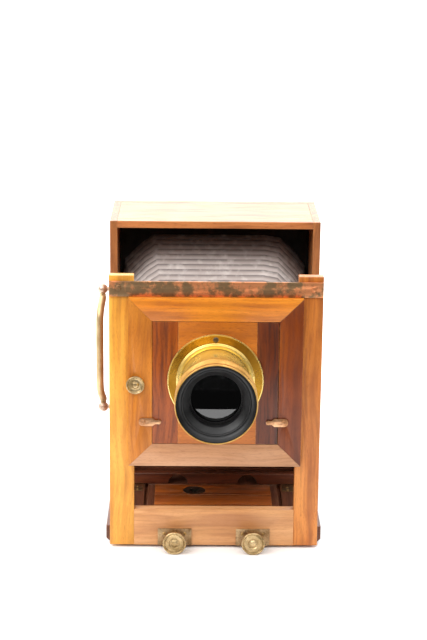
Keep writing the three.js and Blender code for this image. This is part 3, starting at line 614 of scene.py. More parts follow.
def slotted(
    centre: Vector, axis: Vector, head: float, dome: float, depth: float, slot: float, turn: float
) -> bmesh.types.BMesh:
    """Makes a slotted, domed screw head with a short shank.

    Args:
        centre: middle of the head's underside, in metres.
        axis: the way the head faces.
        head: radius in millimetres.
        dome: height in millimetres.
        depth: length below the head in millimetres.
        slot: width of the slot in millimetres.
        turn: angle of the slot in radians.

    Returns:
        The screw.
    """
    steps, land, fullness = 6, 0.15, 0.55
    profile = [(0.0, -depth), (head * 0.5, -depth), (head * 0.5, 0.0), (head, 0.0)]
    for i in range(steps):
        angle = i / steps * math.pi / 2
        profile.append((head * math.cos(angle) ** fullness, land + (dome - land) * math.sin(angle)))
    profile.append((0.0, dome))
    screw = turned(profile, Vector(), Vector((0, 0, 1)), 40)
    body = mesh_from(screw, "screw")
    cutter = bmesh.new()
    bmesh.ops.create_cube(cutter, size=1.0)
    size = Vector((head * 3, slot, dome)) * MM
    lift = 0.95 * dome * MM
    for vert in cutter.verts:
        vert.co = Vector((vert.co.x * size.x, vert.co.y * size.y, vert.co.z * size.z + lift))
    cut = cut_away(body, mesh_from(cutter, "slot", None))
    rotation = Vector((0, 0, 1)).rotation_difference(axis).to_matrix().to_4x4()
    cut.transform(Matrix.Translation(centre) @ rotation @ Matrix.Rotation(turn, 4, "Z"))
    shape = bmesh.new()
    shape.from_mesh(cut)
    bpy.data.meshes.remove(cut)
    return shape


def evaluated(source: bpy.types.Object) -> bpy.types.Mesh:
    """Gives an object's mesh with its modifiers applied, and removes the object."""
    graph = bpy.context.evaluated_depsgraph_get()
    mesh = bpy.data.meshes.new_from_object(source.evaluated_get(graph), depsgraph=graph)
    bpy.data.objects.remove(source)
    return mesh


def scratch(mesh: bpy.types.Mesh) -> bpy.types.Object:
    """Links a passing object for a mesh, so that modifiers can work on it."""
    made = bpy.data.objects.new("scratch", mesh)
    bpy.context.scene.collection.objects.link(made)
    return made


def cut_away(body: bpy.types.Mesh, knife: bpy.types.Mesh) -> bpy.types.Mesh:
    """Cuts one mesh out of another.

    Args:
        body: the mesh that is worked on.
        knife: the shape that is taken away.

    Returns:
        The result as a new mesh.
    """
    one, two = scratch(body), scratch(knife)
    cut = one.modifiers.new("cut", "BOOLEAN")
    cut.operation, cut.object, cut.solver = "DIFFERENCE", two, "EXACT"
    result = evaluated(one)
    bpy.data.objects.remove(two)
    return result


def cad_copy(node: str) -> bmesh.types.BMesh:
    """Copies a CAD node's mesh, merged and with its flat faces whole."""
    shape = bmesh.new()
    shape.from_mesh(frame["nodes"][node].data)
    bmesh.ops.remove_doubles(shape, verts=shape.verts, dist=1e-6)
    bmesh.ops.dissolve_limit(shape, angle_limit=math.radians(1.0), verts=shape.verts, edges=shape.edges)
    return shape


def bevelled(mesh: bpy.types.Mesh, width: float, limit: float = 30.0) -> bpy.types.Mesh:
    """Rounds a mesh's edges over in two steps.

    Args:
        mesh: the mesh.
        width: how far each edge is cut back, in millimetres.
        limit: edges flatter than this angle, in degrees, are left alone.

    Returns:
        The rounded mesh.
    """
    work = scratch(mesh)
    bevel = work.modifiers.new("eased", "BEVEL")
    bevel.width, bevel.segments, bevel.limit_method = width * MM, 2, "ANGLE"
    bevel.angle_limit = math.radians(limit)
    return evaluated(work)


def eased(node: str, width: float, grooves: Iterable[bmesh.types.BMesh] = ()) -> bpy.types.Mesh:
    """Copies a CAD node, rounds its edges over and shades it smooth.

    Args:
        node: the CAD node.
        width: how far each edge is cut back, in millimetres.
        grooves: shapes that are cut away first.

    Returns:
        The mesh.
    """
    mesh = mesh_from(cad_copy(node), node, None)
    for groove in grooves:
        mesh = cut_away(mesh, mesh_from(groove, "groove", None))
    result = bevelled(mesh, width, 40.0)
    result.polygons.foreach_set("use_smooth", [True] * len(result.polygons))
    result.set_sharp_from_angle(angle=math.radians(32))
    return result


def bar(low: Sequence[float], high: Sequence[float]) -> bmesh.types.BMesh:
    """Makes a rectangular cutter between two corners, in metres."""
    shape = bmesh.new()
    bmesh.ops.create_cube(shape, size=1.0)
    lo, hi = Vector(low), Vector(high)
    size = hi - lo
    for vert in shape.verts:
        vert.co = (lo + hi) / 2 + Vector((vert.co.x * size.x, vert.co.y * size.y, vert.co.z * size.z))
    return shape


def divide(shape: bmesh.types.BMesh, place: Vector, across: Vector) -> None:
    """Cuts a shape's faces where a plane crosses them, and keeps both sides."""
    everything = list(shape.verts) + list(shape.edges) + list(shape.faces)
    bmesh.ops.bisect_plane(shape, geom=everything, plane_co=place, plane_no=across)


def middle(node: str) -> Vector:
    """Gives the middle of a CAD node's box."""
    lo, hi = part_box(node)
    return (lo + hi) / 2


def body_of(node: str) -> str:
    """Gives the body that a CAD node belongs to."""
    return frame["nodes"][node]["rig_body"]


FRONT = Vector((0, -1, 0))


@dataclass
class Joinery:
    """Wooden boards and sheet fittings, each eased along its edges and given its own finish."""

    boards: dict[str, object]
    ease: float = 0.5
    suffix: str = "eased"

    def build(self) -> None:
        """Builds each board and hides the plain one."""
        for node, finish in self.boards.items():
            mesh = eased(node, self.ease)
            piece(f"{node}_{self.suffix}", mesh, body_of(node), [finish], [node])


@dataclass
class FrameJoinery:
    """A window frame in one node, shown as stiles between which rails are jointed."""

    node: str
    stile: object
    rail: object
    open_half: float
    inside: object | None = None
    ease: float = 0.5

    def build(self) -> None:
        """Cuts the frame's faces at the joints and gives stiles and rails their own grain."""
        shape = cad_copy(self.node)
        for side in (-1, 1):
            divide(shape, Vector((side * self.open_half, 0, 0)), Vector((1, 0, 0)))
        mesh = bevelled(mesh_from(shape, self.node, None), self.ease)
        numbers = [int(abs(face.center.x) < self.open_half) for face in mesh.polygons]
        finishes = [self.stile, self.rail]
        if self.inside:
            finishes.append(self.inside)
            numbers = [2 if face.normal.y < -0.9 else number for face, number in zip(mesh.polygons, numbers)]
        node = self.node
        made = piece(f"{node}_jointed", mesh, body_of(node), finishes, [node])
        made.data.polygons.foreach_set("material_index", numbers)


# ---------------------------------------------------------------- lens


@dataclass
class Lens:
    """Brass lens on a flange: barrel, hood lined black, two glasses, a stop and three slotted screws.

    Distances along the axis run forward from the lens board's face.
    """

    flange: float = 48.1
    plate: float = 2.9
    rim: float = 46.9
    mark: float = 0.8
    mark_depth: float = 0.1
    collar: float = 38.4
    collar_height: float = 3.6
    barrel: float = 34.2
    bore: float = 31.6
    barrel_end: float = 60.0
    board_hole: float = 31.7
    thread: float = 31.4
    tail_bore: float = 28.8
    tail: float = 14.0
    hood: float = 40.2
    hood_back: float = 59.5
    hood_front: float = 80.5
    mouth: float = 26.3
    clear: float = 24.6
    glass_rim: float = 56.0
    cell: float = 31.3
    ring_start: float = 62.4
    ring_pitch: float = 2.8
    ring_count: int = 5
    body: str = "rising_front"

    def at(self, profile: Sequence[Point], segments: int = 128, closed: bool = False) -> bmesh.types.BMesh:
        """Turns a profile about the lens axis."""
        centre = middle("lens_flange")
        centre.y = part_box("lens_board_panel")[0].y
        return turned(profile, centre, FRONT, segments, closed)

    def build_flange(self) -> None:
        """Flange with a rounded edge and the raised collar that the barrel screws into."""
        inner = self.barrel + 0.3
        top = self.plate + self.collar_height
        hole = self.board_hole
        corners = [(hole, 0.0), (self.flange, 0.0), (self.flange, self.plate), (self.rim, self.plate)]
        outline = softened(corners, 0.9)
        radius = self.rim - self.mark / 2
        while radius > self.collar + 1.4:
            outline += [(radius, self.plate - self.mark_depth), (radius - self.mark / 2, self.plate)]
            radius -= self.mark
        outline += softened(
            [
                (self.collar + 1.2, self.plate),
                (self.collar + 0.6, self.plate),
                (self.collar, self.plate + 0.6),
                (self.collar, top - 1.5),
                (self.collar - 0.5, top - 1.2),
                (self.collar - 0.5, top - 0.9),
                (self.collar, top - 0.6),
                (self.collar - 0.4, top),
                (inner, top),
                (inner, self.plate),
                (hole, self.plate),
            ],
            0.3,
        )
        mesh = mesh_from(self.at(outline, closed=True), "flange")
        finishes = [FLANGE_BRASS, LACQUERED_HIGHLIGHT]
        made = piece("flange_turned", mesh, self.body, finishes, ["lens_flange"])
        axis = middle("lens_flange")
        # The rounded rim and the collar take the paler brass: a painted highlight on the edges, against the
        # darker face of the same metal.
        numbers = []
        for face in made.data.polygons:
            away = Vector((face.center.x - axis.x, face.center.z - axis.z)).length / MM
            numbers.append(int(not self.collar + 0.8 < away < self.rim + 0.2))
        made.data.polygons.foreach_set("material_index", numbers)

    def build_barrel(self) -> None:
        """Smooth lacquered tube in pale brass that carries a painted highlight, with two fine beads by the
        hood and a short tail behind the board.
        """
        back = self.hood_back
        outline = softened(
            [
                (self.tail_bore, -self.tail),
                (self.thread, -self.tail),
                (self.thread, 3.0),
                (self.barrel, 3.0),
                (self.barrel, back - 10.0),
                (self.barrel - 0.4, back - 9.6),
                (self.barrel - 0.4, back - 9.0),
                (self.barrel, back - 8.6),
                (self.barrel, back - 7.0),
                (self.barrel + 1.0, back - 6.0),
                (self.barrel + 1.0, back - 4.4),
                (self.barrel + 0.3, back - 4.0),
                (self.barrel + 1.0, back - 3.6),
                (self.barrel + 1.0, back - 2.0),
                (self.barrel, back - 1.0),
                (self.barrel, self.barrel_end),
                (self.bore, self.barrel_end),
                (self.bore, 5.0),
                (self.tail_bore, 5.0),
            ],
            0.5,
        )
        mesh = mesh_from(self.at(outline, closed=True), "barrel")
        finishes = [LACQUERED_HIGHLIGHT, MATT_BLACK]
        made = piece("barrel_turned", mesh, self.body, finishes, ["lens_barrel"])
        self.line_inside(made, self.bore + 0.8)

    def line_inside(self, made: bpy.types.Object, radius: float) -> None:
        """Gives the faces nearer the axis than a radius, in millimetres, the piece's second finish."""
        axis = middle("lens_flange")
        numbers = []
        for face in made.data.polygons:
            away = Vector((face.center.x - axis.x, face.center.z - axis.z))
            numbers.append(int(away.length < radius * MM))
        made.data.polygons.foreach_set("material_index", numbers)

    def build_hood(self) -> None:
        """Hood with fine turned rings outside, a thin bright rim, and a black funnel with one low ridge."""
        front = self.hood_front
        outline = [(self.barrel + 0.3, self.hood_back), (self.hood, self.hood_back)]
        for number in range(self.ring_count):
            ring = self.ring_start + number * self.ring_pitch
            outline += [(self.hood, ring - 0.6), (self.hood - 0.8, ring), (self.hood, ring + 0.6)]
        outline += [
            (self.hood, front - 1.0),
            (self.hood - 0.3, front),
            (self.hood - 1.2, front),
            (self.hood - 1.9, front - 1.6),
            (self.hood - 4.2, front - 4.6),
            (34.0, front - 5.9),
            (33.4, front - 5.2),
            (32.4, front - 5.2),
            (31.6, front - 6.6),
            (self.mouth, front - 11.5),
            (self.mouth, 60.4),
            (self.barrel + 0.3, 60.4),
        ]
        mesh = mesh_from(self.at(softened(outline, 0.35), closed=True), "hood")
        made = piece("hood_turned", mesh, self.body, [HOOD_BRASS, BLACK], ["lens_hood"])
        self.line_inside(made, self.hood - 1.3)

    def build_glasses(self) -> None:
        """Domed front and rear glasses, each a closed lens."""
        for node, rim_radius, back, front, rise in (
            ("front_glass", self.cell, self.glass_rim - 6, self.glass_rim, 0.7),
            ("rear_glass", 28.5, -12.0, -7.0, 2.6),
        ):
            steps = 14
            outline = [(0.0, back - 1.2), (rim_radius * 0.5, back - 0.9), (rim_radius, back)]
            for i in range(steps + 1):
                radius = rim_radius * (1 - i / steps)
                outline.append((radius, front + rise * (1 - (radius / rim_radius) ** 2)))
            mesh = mesh_from(self.at(outline, 96), node)
            piece(f"{node}_domed", mesh, self.body, [LENS_GLASS_SHADE_DARK], [node])

    def build_rings(self) -> None:
        """Retaining ring and stop, both lined black."""
        end = self.barrel_end
        ring = [(self.clear, end - 2.6), (self.cell, end - 3.6), (self.cell, end), (self.clear, end)]
        mesh = mesh_from(self.at(softened(ring, 0.5), closed=True), "retaining_ring")
        piece("retaining_ring_turned", mesh, self.body, [BLACK], ["front_retaining_ring"])
        stop = [(11.0, 10.9), (self.cell, 10.9), (self.cell, 11.9), (12.0, 11.9)]
        mesh = mesh_from(self.at(stop, closed=True), "stop")
        piece("stop_turned", mesh, self.body, [MATT_BLACK], ["lens_stop"])

    def build_screws(self) -> None:
        """Three dark slotted screws in the flange."""
        for number, turn in ((1, 0.0), (2, 0.9), (3, 2.1)):
            node = f"flange_screw_{number}"
            centre = middle(node)
            centre.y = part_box("lens_flange")[0].y + self.collar_height * MM
            head = slotted(centre, FRONT, 2.8, 0.7, 5.0, 0.7, turn)
            piece(f"{node}_slotted", mesh_from(head, node), self.body, [STEEL], [node])

    def build(self) -> None:
        """Builds the whole lens."""
        self.build_flange()
        self.build_barrel()
        self.build_hood()
        self.build_glasses()
        self.build_rings()
        self.build_screws()


# ---------------------------------------------------------------- bellows


@dataclass
class Bellows:
    """Fourteen pleats of leathercloth between the rising panel and the back of the box.

    The pleats are two pieces that meet at a fold, because the front ones shear as the panel rises and the
    others close up as the box slides.
    """

    pleats: int = 14
    depth: float = 9.5
    cloth: float = 0.8
    wrinkle: float = 0.9
    long_steps: int = 14

    def ends(self) -> tuple[float, float, float]:
        """Gives the bellows' front, meeting plane and rear along Y, in metres."""
        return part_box("bellows_front")[0].y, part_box("bellows_front")[1].y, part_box("bellows_rear")[1].y

    def outline(self, node: str, y: float) -> tuple[float, float, float, float]:
        """Reads the eight-sided outline of a CAD bellows at one end.

        Args:
            node: the CAD node.
            y: the end's place.

        Returns:
            Half width, lowest and highest point and corner cut, in metres.
        """
        spots = [v.co for v in frame["nodes"][node].data.vertices if abs(v.co.y - y) < 1e-4]
        half = max(v.x for v in spots)
        low, high = min(v.z for v in spots), max(v.z for v in spots)
        cut = half - max(v.x for v in spots if abs(v.z - high) < 1e-4)
        return half, low, high, cut

    def ring(self, share: float, ends: Sequence[tuple]) -> list[tuple[float, float, float, float]]:
        """Gives one ring of the outline: x, z and the way in, for each point.

        Args:
            share: 0 at the front end, 1 at the rear.
            ends: the front and rear outlines.

        Returns:
            A list of x, z, inward x and inward z.
        """
        half, low, high, cut = (a + (b - a) * share for a, b in zip(*ends))
        corners = [
            (half - cut, high),
            (half, high - cut),
            (half, low + cut),
            (half - cut, low),
            (-half + cut, low),
            (-half, low + cut),
            (-half, high - cut),
            (-half + cut, high),
        ]
        spots = []
        for i, (x0, z0) in enumerate(corners):
            x1, z1 = corners[(i + 1) % 8]
            steps = 4 if i % 2 == 0 else self.long_steps
            side = Vector((z0 - z1, x1 - x0)).normalized()
            for k in range(steps):
                t = k / steps
                spots.append((x0 + (x1 - x0) * t, z0 + (z1 - z0) * t, side.x, side.y))
        return spots

    def strip(self, first: int, last: int) -> bpy.types.Mesh:
        """Builds the cloth between two folds, flat, with each point's fold and way in as attributes.

        Args:
            first: number of the fold at the front end.
            last: number of the fold at the rear end.

        Returns:
            The mesh.
        """
        front, _, rear = self.ends()
        ends = (self.outline("bellows_front", front), self.outline("bellows_rear", rear))
        shape = bmesh.new()
        fold = shape.verts.layers.float.new("fold")
        inward = shape.verts.layers.float_vector.new("inward")
        marks = []
        for pleat in range(first, last):
            marks += [(pleat, 1.0), (pleat + 0.04, 0.96), (pleat + 0.25, 0.52), (pleat + 0.45, 0.08)]
            marks += [(pleat + 0.5, 0.0), (pleat + 0.55, 0.08), (pleat + 0.75, 0.52), (pleat + 0.96, 0.96)]
        marks.append((last, 1.0))
        rings = []
        for place, deep in marks:
            share = place / self.pleats
            y = front + (rear - front) * share
            ring = []
            for x, z, in_x, in_z in self.ring(share, ends):
                vert = shape.verts.new((x, y, z))
                vert[fold] = deep
                vert[inward] = (in_x, 0.0, in_z)
                ring.append(vert)
            rings.append(ring)
        for one, two in zip(rings, rings[1:]):
            for i in range(len(one)):
                j = (i + 1) % len(one)
                shape.faces.new((one[i], one[j], two[j], two[i]))
        return mesh_from(shape, "bellows_strip", 70.0)

    def tree(self) -> bpy.types.NodeTree:
        """Geometry nodes that press each fold inward, wrinkle the cloth a little and set its material."""
        group = bpy.data.node_groups.new("pleats", "GeometryNodeTree")
        group.interface.new_socket("Geometry", in_out="INPUT", socket_type="NodeSocketGeometry")
        for name, value in (("Depth", 0.01), ("Wrinkle", 0.0005), ("Seed", 3.0)):
            socket = group.interface.new_socket(name, in_out="INPUT", socket_type="NodeSocketFloat")
            socket.default_value = value
        group.interface.new_socket("Cloth", in_out="INPUT", socket_type="NodeSocketMaterial")
        group.interface.new_socket("Geometry", in_out="OUTPUT", socket_type="NodeSocketGeometry")
        given = add(group, "NodeGroupInput").outputs
        named = "GeometryNodeInputNamedAttribute"
        fold = add(group, named, {"Name": "fold"}, data_type="FLOAT").outputs[0]
        way = add(group, named, {"Name": "inward"}, data_type="FLOAT_VECTOR").outputs[0]
        press = add(group, "ShaderNodeMath", {0: fold, 1: given["Depth"]}, operation="MULTIPLY").outputs[0]
        place = add(group, "GeometryNodeInputPosition").outputs[0]
        wavy = {"Vector": place, "W": given["Seed"], "Scale": 28.0, "Detail": 2.0}
        ripple = add(group, "ShaderNodeTexNoise", wavy, noise_dimensions="4D").outputs["Fac"]
        centred = add(group, "ShaderNodeMath", {0: ripple, 1: 0.5}, operation="SUBTRACT").outputs[0]
        high_and_low = {0: centred, 1: given["Wrinkle"]}
        sized = add(group, "ShaderNodeMath", high_and_low, operation="MULTIPLY").outputs[0]
        both = add(group, "ShaderNodeMath", {0: press, 1: sized}, operation="ADD").outputs[0]
        offset = add(group, "ShaderNodeVectorMath", {0: way, "Scale": both}, operation="SCALE").outputs[0]
        moved = add(group, "GeometryNodeSetPosition", {"Geometry": given["Geometry"], "Offset": offset})
        high = add(group, "ShaderNodeMath", {0: 1.0, 1: fold}, operation="SUBTRACT").outputs[0]
        stored = {"Geometry": moved.outputs[0], "Name": "crest", "Value": high}
        kept = add(group, "GeometryNodeStoreNamedAttribute", stored, data_type="FLOAT", domain="POINT")
        real = add(group, "GeometryNodeRealizeInstances", {"Geometry": kept.outputs[0]})
        dressed = {"Geometry": real.outputs[0], "Material": given["Cloth"]}
        done = add(group, "GeometryNodeSetMaterial", dressed)
        add(group, "NodeGroupOutput", {"Geometry": done.outputs[0]})
        return group

    def folded(self, group: bpy.types.NodeTree, first: int, last: int) -> bpy.types.Mesh:
        """Runs the tree on one stretch of cloth and gives it its thickness.

        Args:
            group: the pleat tree.
            first: number of the fold at the front end.
            last: number of the fold at the rear end.

        Returns:
            The folded mesh.
        """
        work = scratch(self.strip(first, last))
        nodes = work.modifiers.new("pleats", "NODES")
        nodes.node_group = group
        values = {
            "Depth": self.depth * MM,
            "Wrinkle": self.wrinkle * MM,
            "Seed": 3.0,
            "Cloth": BellowsCloth().material(),
        }
        for item in group.interface.items_tree:
            if item.in_out == "INPUT" and item.name in values:
                nodes[item.identifier] = values[item.name]
        thick = work.modifiers.new("cloth", "SOLIDIFY")
        thick.thickness, thick.offset, thick.use_even_offset = self.cloth * MM, -1.0, False
        mesh = evaluated(work)
        mesh.polygons.foreach_set("use_smooth", [True] * len(mesh.polygons))
        mesh.set_sharp_from_angle(angle=math.radians(60))
        return mesh

    def build(self) -> None:
        """Builds both stretches, each in place and tied to no body."""
        front, split, rear = self.ends()
        meeting = round((split - front) / (rear - front) * self.pleats)
        group = self.tree()
        cloth = [BellowsCloth()]
        mesh = self.folded(group, 0, meeting)
        near = piece("bellows_front_pleats", mesh, "", cloth, ["bellows_front"], False)
        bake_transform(near)
        mesh = self.folded(group, meeting, self.pleats)
        far = piece("bellows_rear_pleats", mesh, "", cloth, ["bellows_rear"], False)
        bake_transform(far)


# ---------------------------------------------------------------- turned fittings


@dataclass
class Knobs:
    """Thumb discs under the upright and the small clamp knob beside the rising panel."""

    disc: float = 12.0
    reach: float = 20.5
    shank: float = 2.9
    length: float = 24.0

    def build_thumb_screws(self) -> None:
        """Turned discs: thin bright rim, dark groove, broad face, and a cone with a bright point."""
        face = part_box("upright_rail")[0].y
        for side in ("left", "right"):
            node = f"thumb_screw_{side}"
            centre = middle(node)
            centre.y = face
            disc, reach = self.disc, self.reach
            outline = [
                (0.0, -self.length),
                (self.shank - 0.6, -self.length),
                (self.shank, -self.length + 0.8),
                (self.shank, 4.2),
                (5.4, 5.0),
                (6.6, 8.0),
                (5.2, 11.5),
                (6.2, reach - 5.6),
                (disc - 1.0, reach - 4.6),
                (disc, reach - 3.6),
                (disc, reach - 1.0),
                (disc - 0.5, reach - 0.4),
                (disc - 1.3, reach - 0.4),
                (disc - 1.9, reach - 1.5),
                (disc - 2.5, reach - 1.5),
                (disc - 3.0, reach - 0.7),
                (5.4, reach - 0.9),
                (4.8, reach - 1.7),
                (4.2, reach - 1.7),
                (2.2, reach - 0.3),
                (0.0, reach),
            ]
            mesh = mesh_from(turned(softened(outline, 0.4), centre, FRONT, 96), node)
            piece(f"{node}_turned", mesh, body_of(node), [DISC_BRASS], [node])

    def build_rise_knob(self) -> None:
        """Low clamp knob with a dished face."""
        node = "rise_knob"
        centre = middle(node)
        centre.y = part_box("rising_rail_top")[0].y
        outline = [
            (0.0, -5.0),
            (1.6, -5.0),
            (1.6, 0.2),
            (5.2, 0.2),
            (4.2, 1.8),
            (8.6, 2.2),
            (9.25, 2.9),
            (9.25, 4.8),
            (8.7, 5.3),
            (7.8, 5.3),
            (7.0, 3.9),
            (3.6, 4.0),
            (2.6, 5.6),
            (0.0, 6.2),
        ]
        mesh = mesh_from(turned(softened(outline, 0.4), centre, FRONT, 80), node)
        piece("rise_knob_turned", mesh, body_of(node), [DISC_BRASS], [node])

    def build_screws(self) -> None:
        """Slotted screws of the strap and the two turn clips."""
        for node, head, dome, slot, turn, finish in (
            ("strap_screw_left", 2.9, 0.9, 0.8, 0.5, COPPERY),
            ("strap_screw_right", 2.9, 0.9, 0.8, 2.3, COPPERY),
            ("clip_screw_left", 2.6, 1.0, 0.7, 1.2, CLIP_BRASS),
            ("clip_screw_right", 2.6, 1.0, 0.7, 0.2, CLIP_BRASS),
        ):
            centre = middle(node)
            centre.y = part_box(node)[0].y + dome * MM
            depth = (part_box(node)[1].y - centre.y) / MM
            mesh = mesh_from(slotted(centre, FRONT, head, dome, depth, slot, turn), node)
            piece(f"{node}_slotted", mesh, body_of(node), [finish], [node])

    def build_bush(self) -> None:
        """Tripod bush: flanged, flush with the bed, with a bored and threaded barrel."""
        node = "tripod_bush"
        lo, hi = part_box(node)
        centre = middle(node)
        centre.z = lo.z
        tall = (hi.z - lo.z) / MM
        bore, barrel, flange, lip = 4.8, 8.0, 12.0, 2.0
        outline = [(bore, 0.0), (flange, 0.0), (flange, lip), (barrel, lip)]
        outline += [(barrel, tall - lip), (flange, tall - lip), (flange, tall), (bore, tall)]
        threads, thread, land = 9, 0.4, 1.4
        for i in range(threads + 1):
            outline.append((bore if i % 2 else bore + thread, tall - land - i * (tall - 2 * land) / threads))
        mesh = mesh_from(turned(outline, centre, Vector((0, 0, 1)), 64, True), node)
        piece("tripod_bush_turned", mesh, body_of(node), [STEEL], [node])

    def build(self) -> None:
        """Builds every turned fitting."""
        self.build_thumb_screws()
        self.build_rise_knob()
        self.build_screws()
        self.build_bush()


@dataclass
class Handle:
    """Bail handle on two ball-headed posts at the left side of the box."""

    ball: float = 5.6
    bar: float = 4.1
    neck: float = 2.2
    post: float = 2.4
    collar: float = 4.6
    span: float = 134.6
    depth: float = 17.2
    turn: float = 81.0

    def route(self) -> list[tuple[Vector, float]]:
        """Gives the bail's centre line and its radius along it, in millimetres about the hinge."""
        half, deep = self.span / 2, self.depth
        start = half - self.ball + 0.5
        a, b = Vector((0, 0, start - 1)), Vector((0, 0, start - 9))
        c, d = Vector((-deep, 0, half - 15)), Vector((-deep, 0, half - 36))
        steps = 18
        bend = []
        for i in range(steps + 1):
            t = i / steps
            spot = a * (1 - t) ** 3 + b * (3 * t * (1 - t) ** 2) + c * (3 * t * t * (1 - t)) + d * t**3
            bend.append(spot)
        line = [Vector((0, 0, start)), Vector((0, 0, start - 2.2))] + bend
        radii = [self.neck, self.neck] + [self.bar * (0.86 if i < 2 else 1.0) for i in range(steps + 1)]
        below = [Vector((v.x, v.y, -v.z)) for v in reversed(line)]
        return list(zip(line + below, radii + list(reversed(radii))))

    def build_bail(self) -> None:
        """Round bar bent at both ends, necked where it stands in the balls."""
        shape = bmesh.new()
        around = 32
        lower, upper = middle("handle_post_lower"), middle("handle_post_upper")
        hinge = Vector((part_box("handle_post_lower")[0].x + self.ball * MM, lower.y, (lower.z + upper.z) / 2))
        turn = Matrix.Rotation(math.radians(self.turn), 3, "Z")
        line = self.route()
        rings = []
        for i, (spot, radius) in enumerate(line):
            ahead = line[min(i + 1, len(line) - 1)][0] - line[max(i - 1, 0)][0]
            ahead.normalize()
            side = Vector((0, 1, 0))
            up = ahead.cross(side)
            ring = []
            for k in range(around):
                angle = 2 * math.pi * k / around
                local = spot + (side * math.cos(angle) + up * math.sin(angle)) * radius
                ring.append(shape.verts.new(hinge + turn @ local * MM))
            rings.append(ring)
        for one, two in zip(rings, rings[1:]):
            for i in range(around):
                j = (i + 1) % around
                shape.faces.new((one[i], one[j], two[j], two[i]))
        shape.faces.new(rings[0])
        shape.faces.new(rings[-1])
        mesh = mesh_from(shape, "bail", 50.0)
        piece("handle_bail_bent", mesh, "handle", [HANDLE_BRASS], ["handle_bail"])

    def build_posts(self) -> None:
        """Posts with a ball head, a thin neck and a collar against the box."""
        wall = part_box("box_side_left")[0].x
        for place in ("lower", "upper"):
            node = f"handle_post_{place}"
            lo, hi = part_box(node)
            centre = (lo + hi) / 2
            centre.x = lo.x + self.ball * MM
            stem = (wall - centre.x) / MM
            tail = (hi.x - centre.x) / MM
            outline = []
            for i in range(21):
                angle = math.pi * (1 - i / 20 * 0.86)
                outline.append((self.ball * math.sin(angle), self.ball * math.cos(angle)))
            outline[0] = (0.0, -self.ball)
            outline += [(self.post, self.ball + 0.2), (self.post, stem - 2.2)]
            outline += [(self.collar, stem - 1.6), (self.collar, stem - 0.1)]
            outline += [(self.post, stem - 0.1), (self.post, tail), (0.0, tail)]
            mesh = mesh_from(turned(outline, centre, Vector((1, 0, 0)), 48), node)
            piece(f"{node}_turned", mesh, body_of(node), [BALL_BRASS], [node])

    def build(self) -> None:
        """Builds the bail and both posts."""
        self.build_bail()
        self.build_posts()


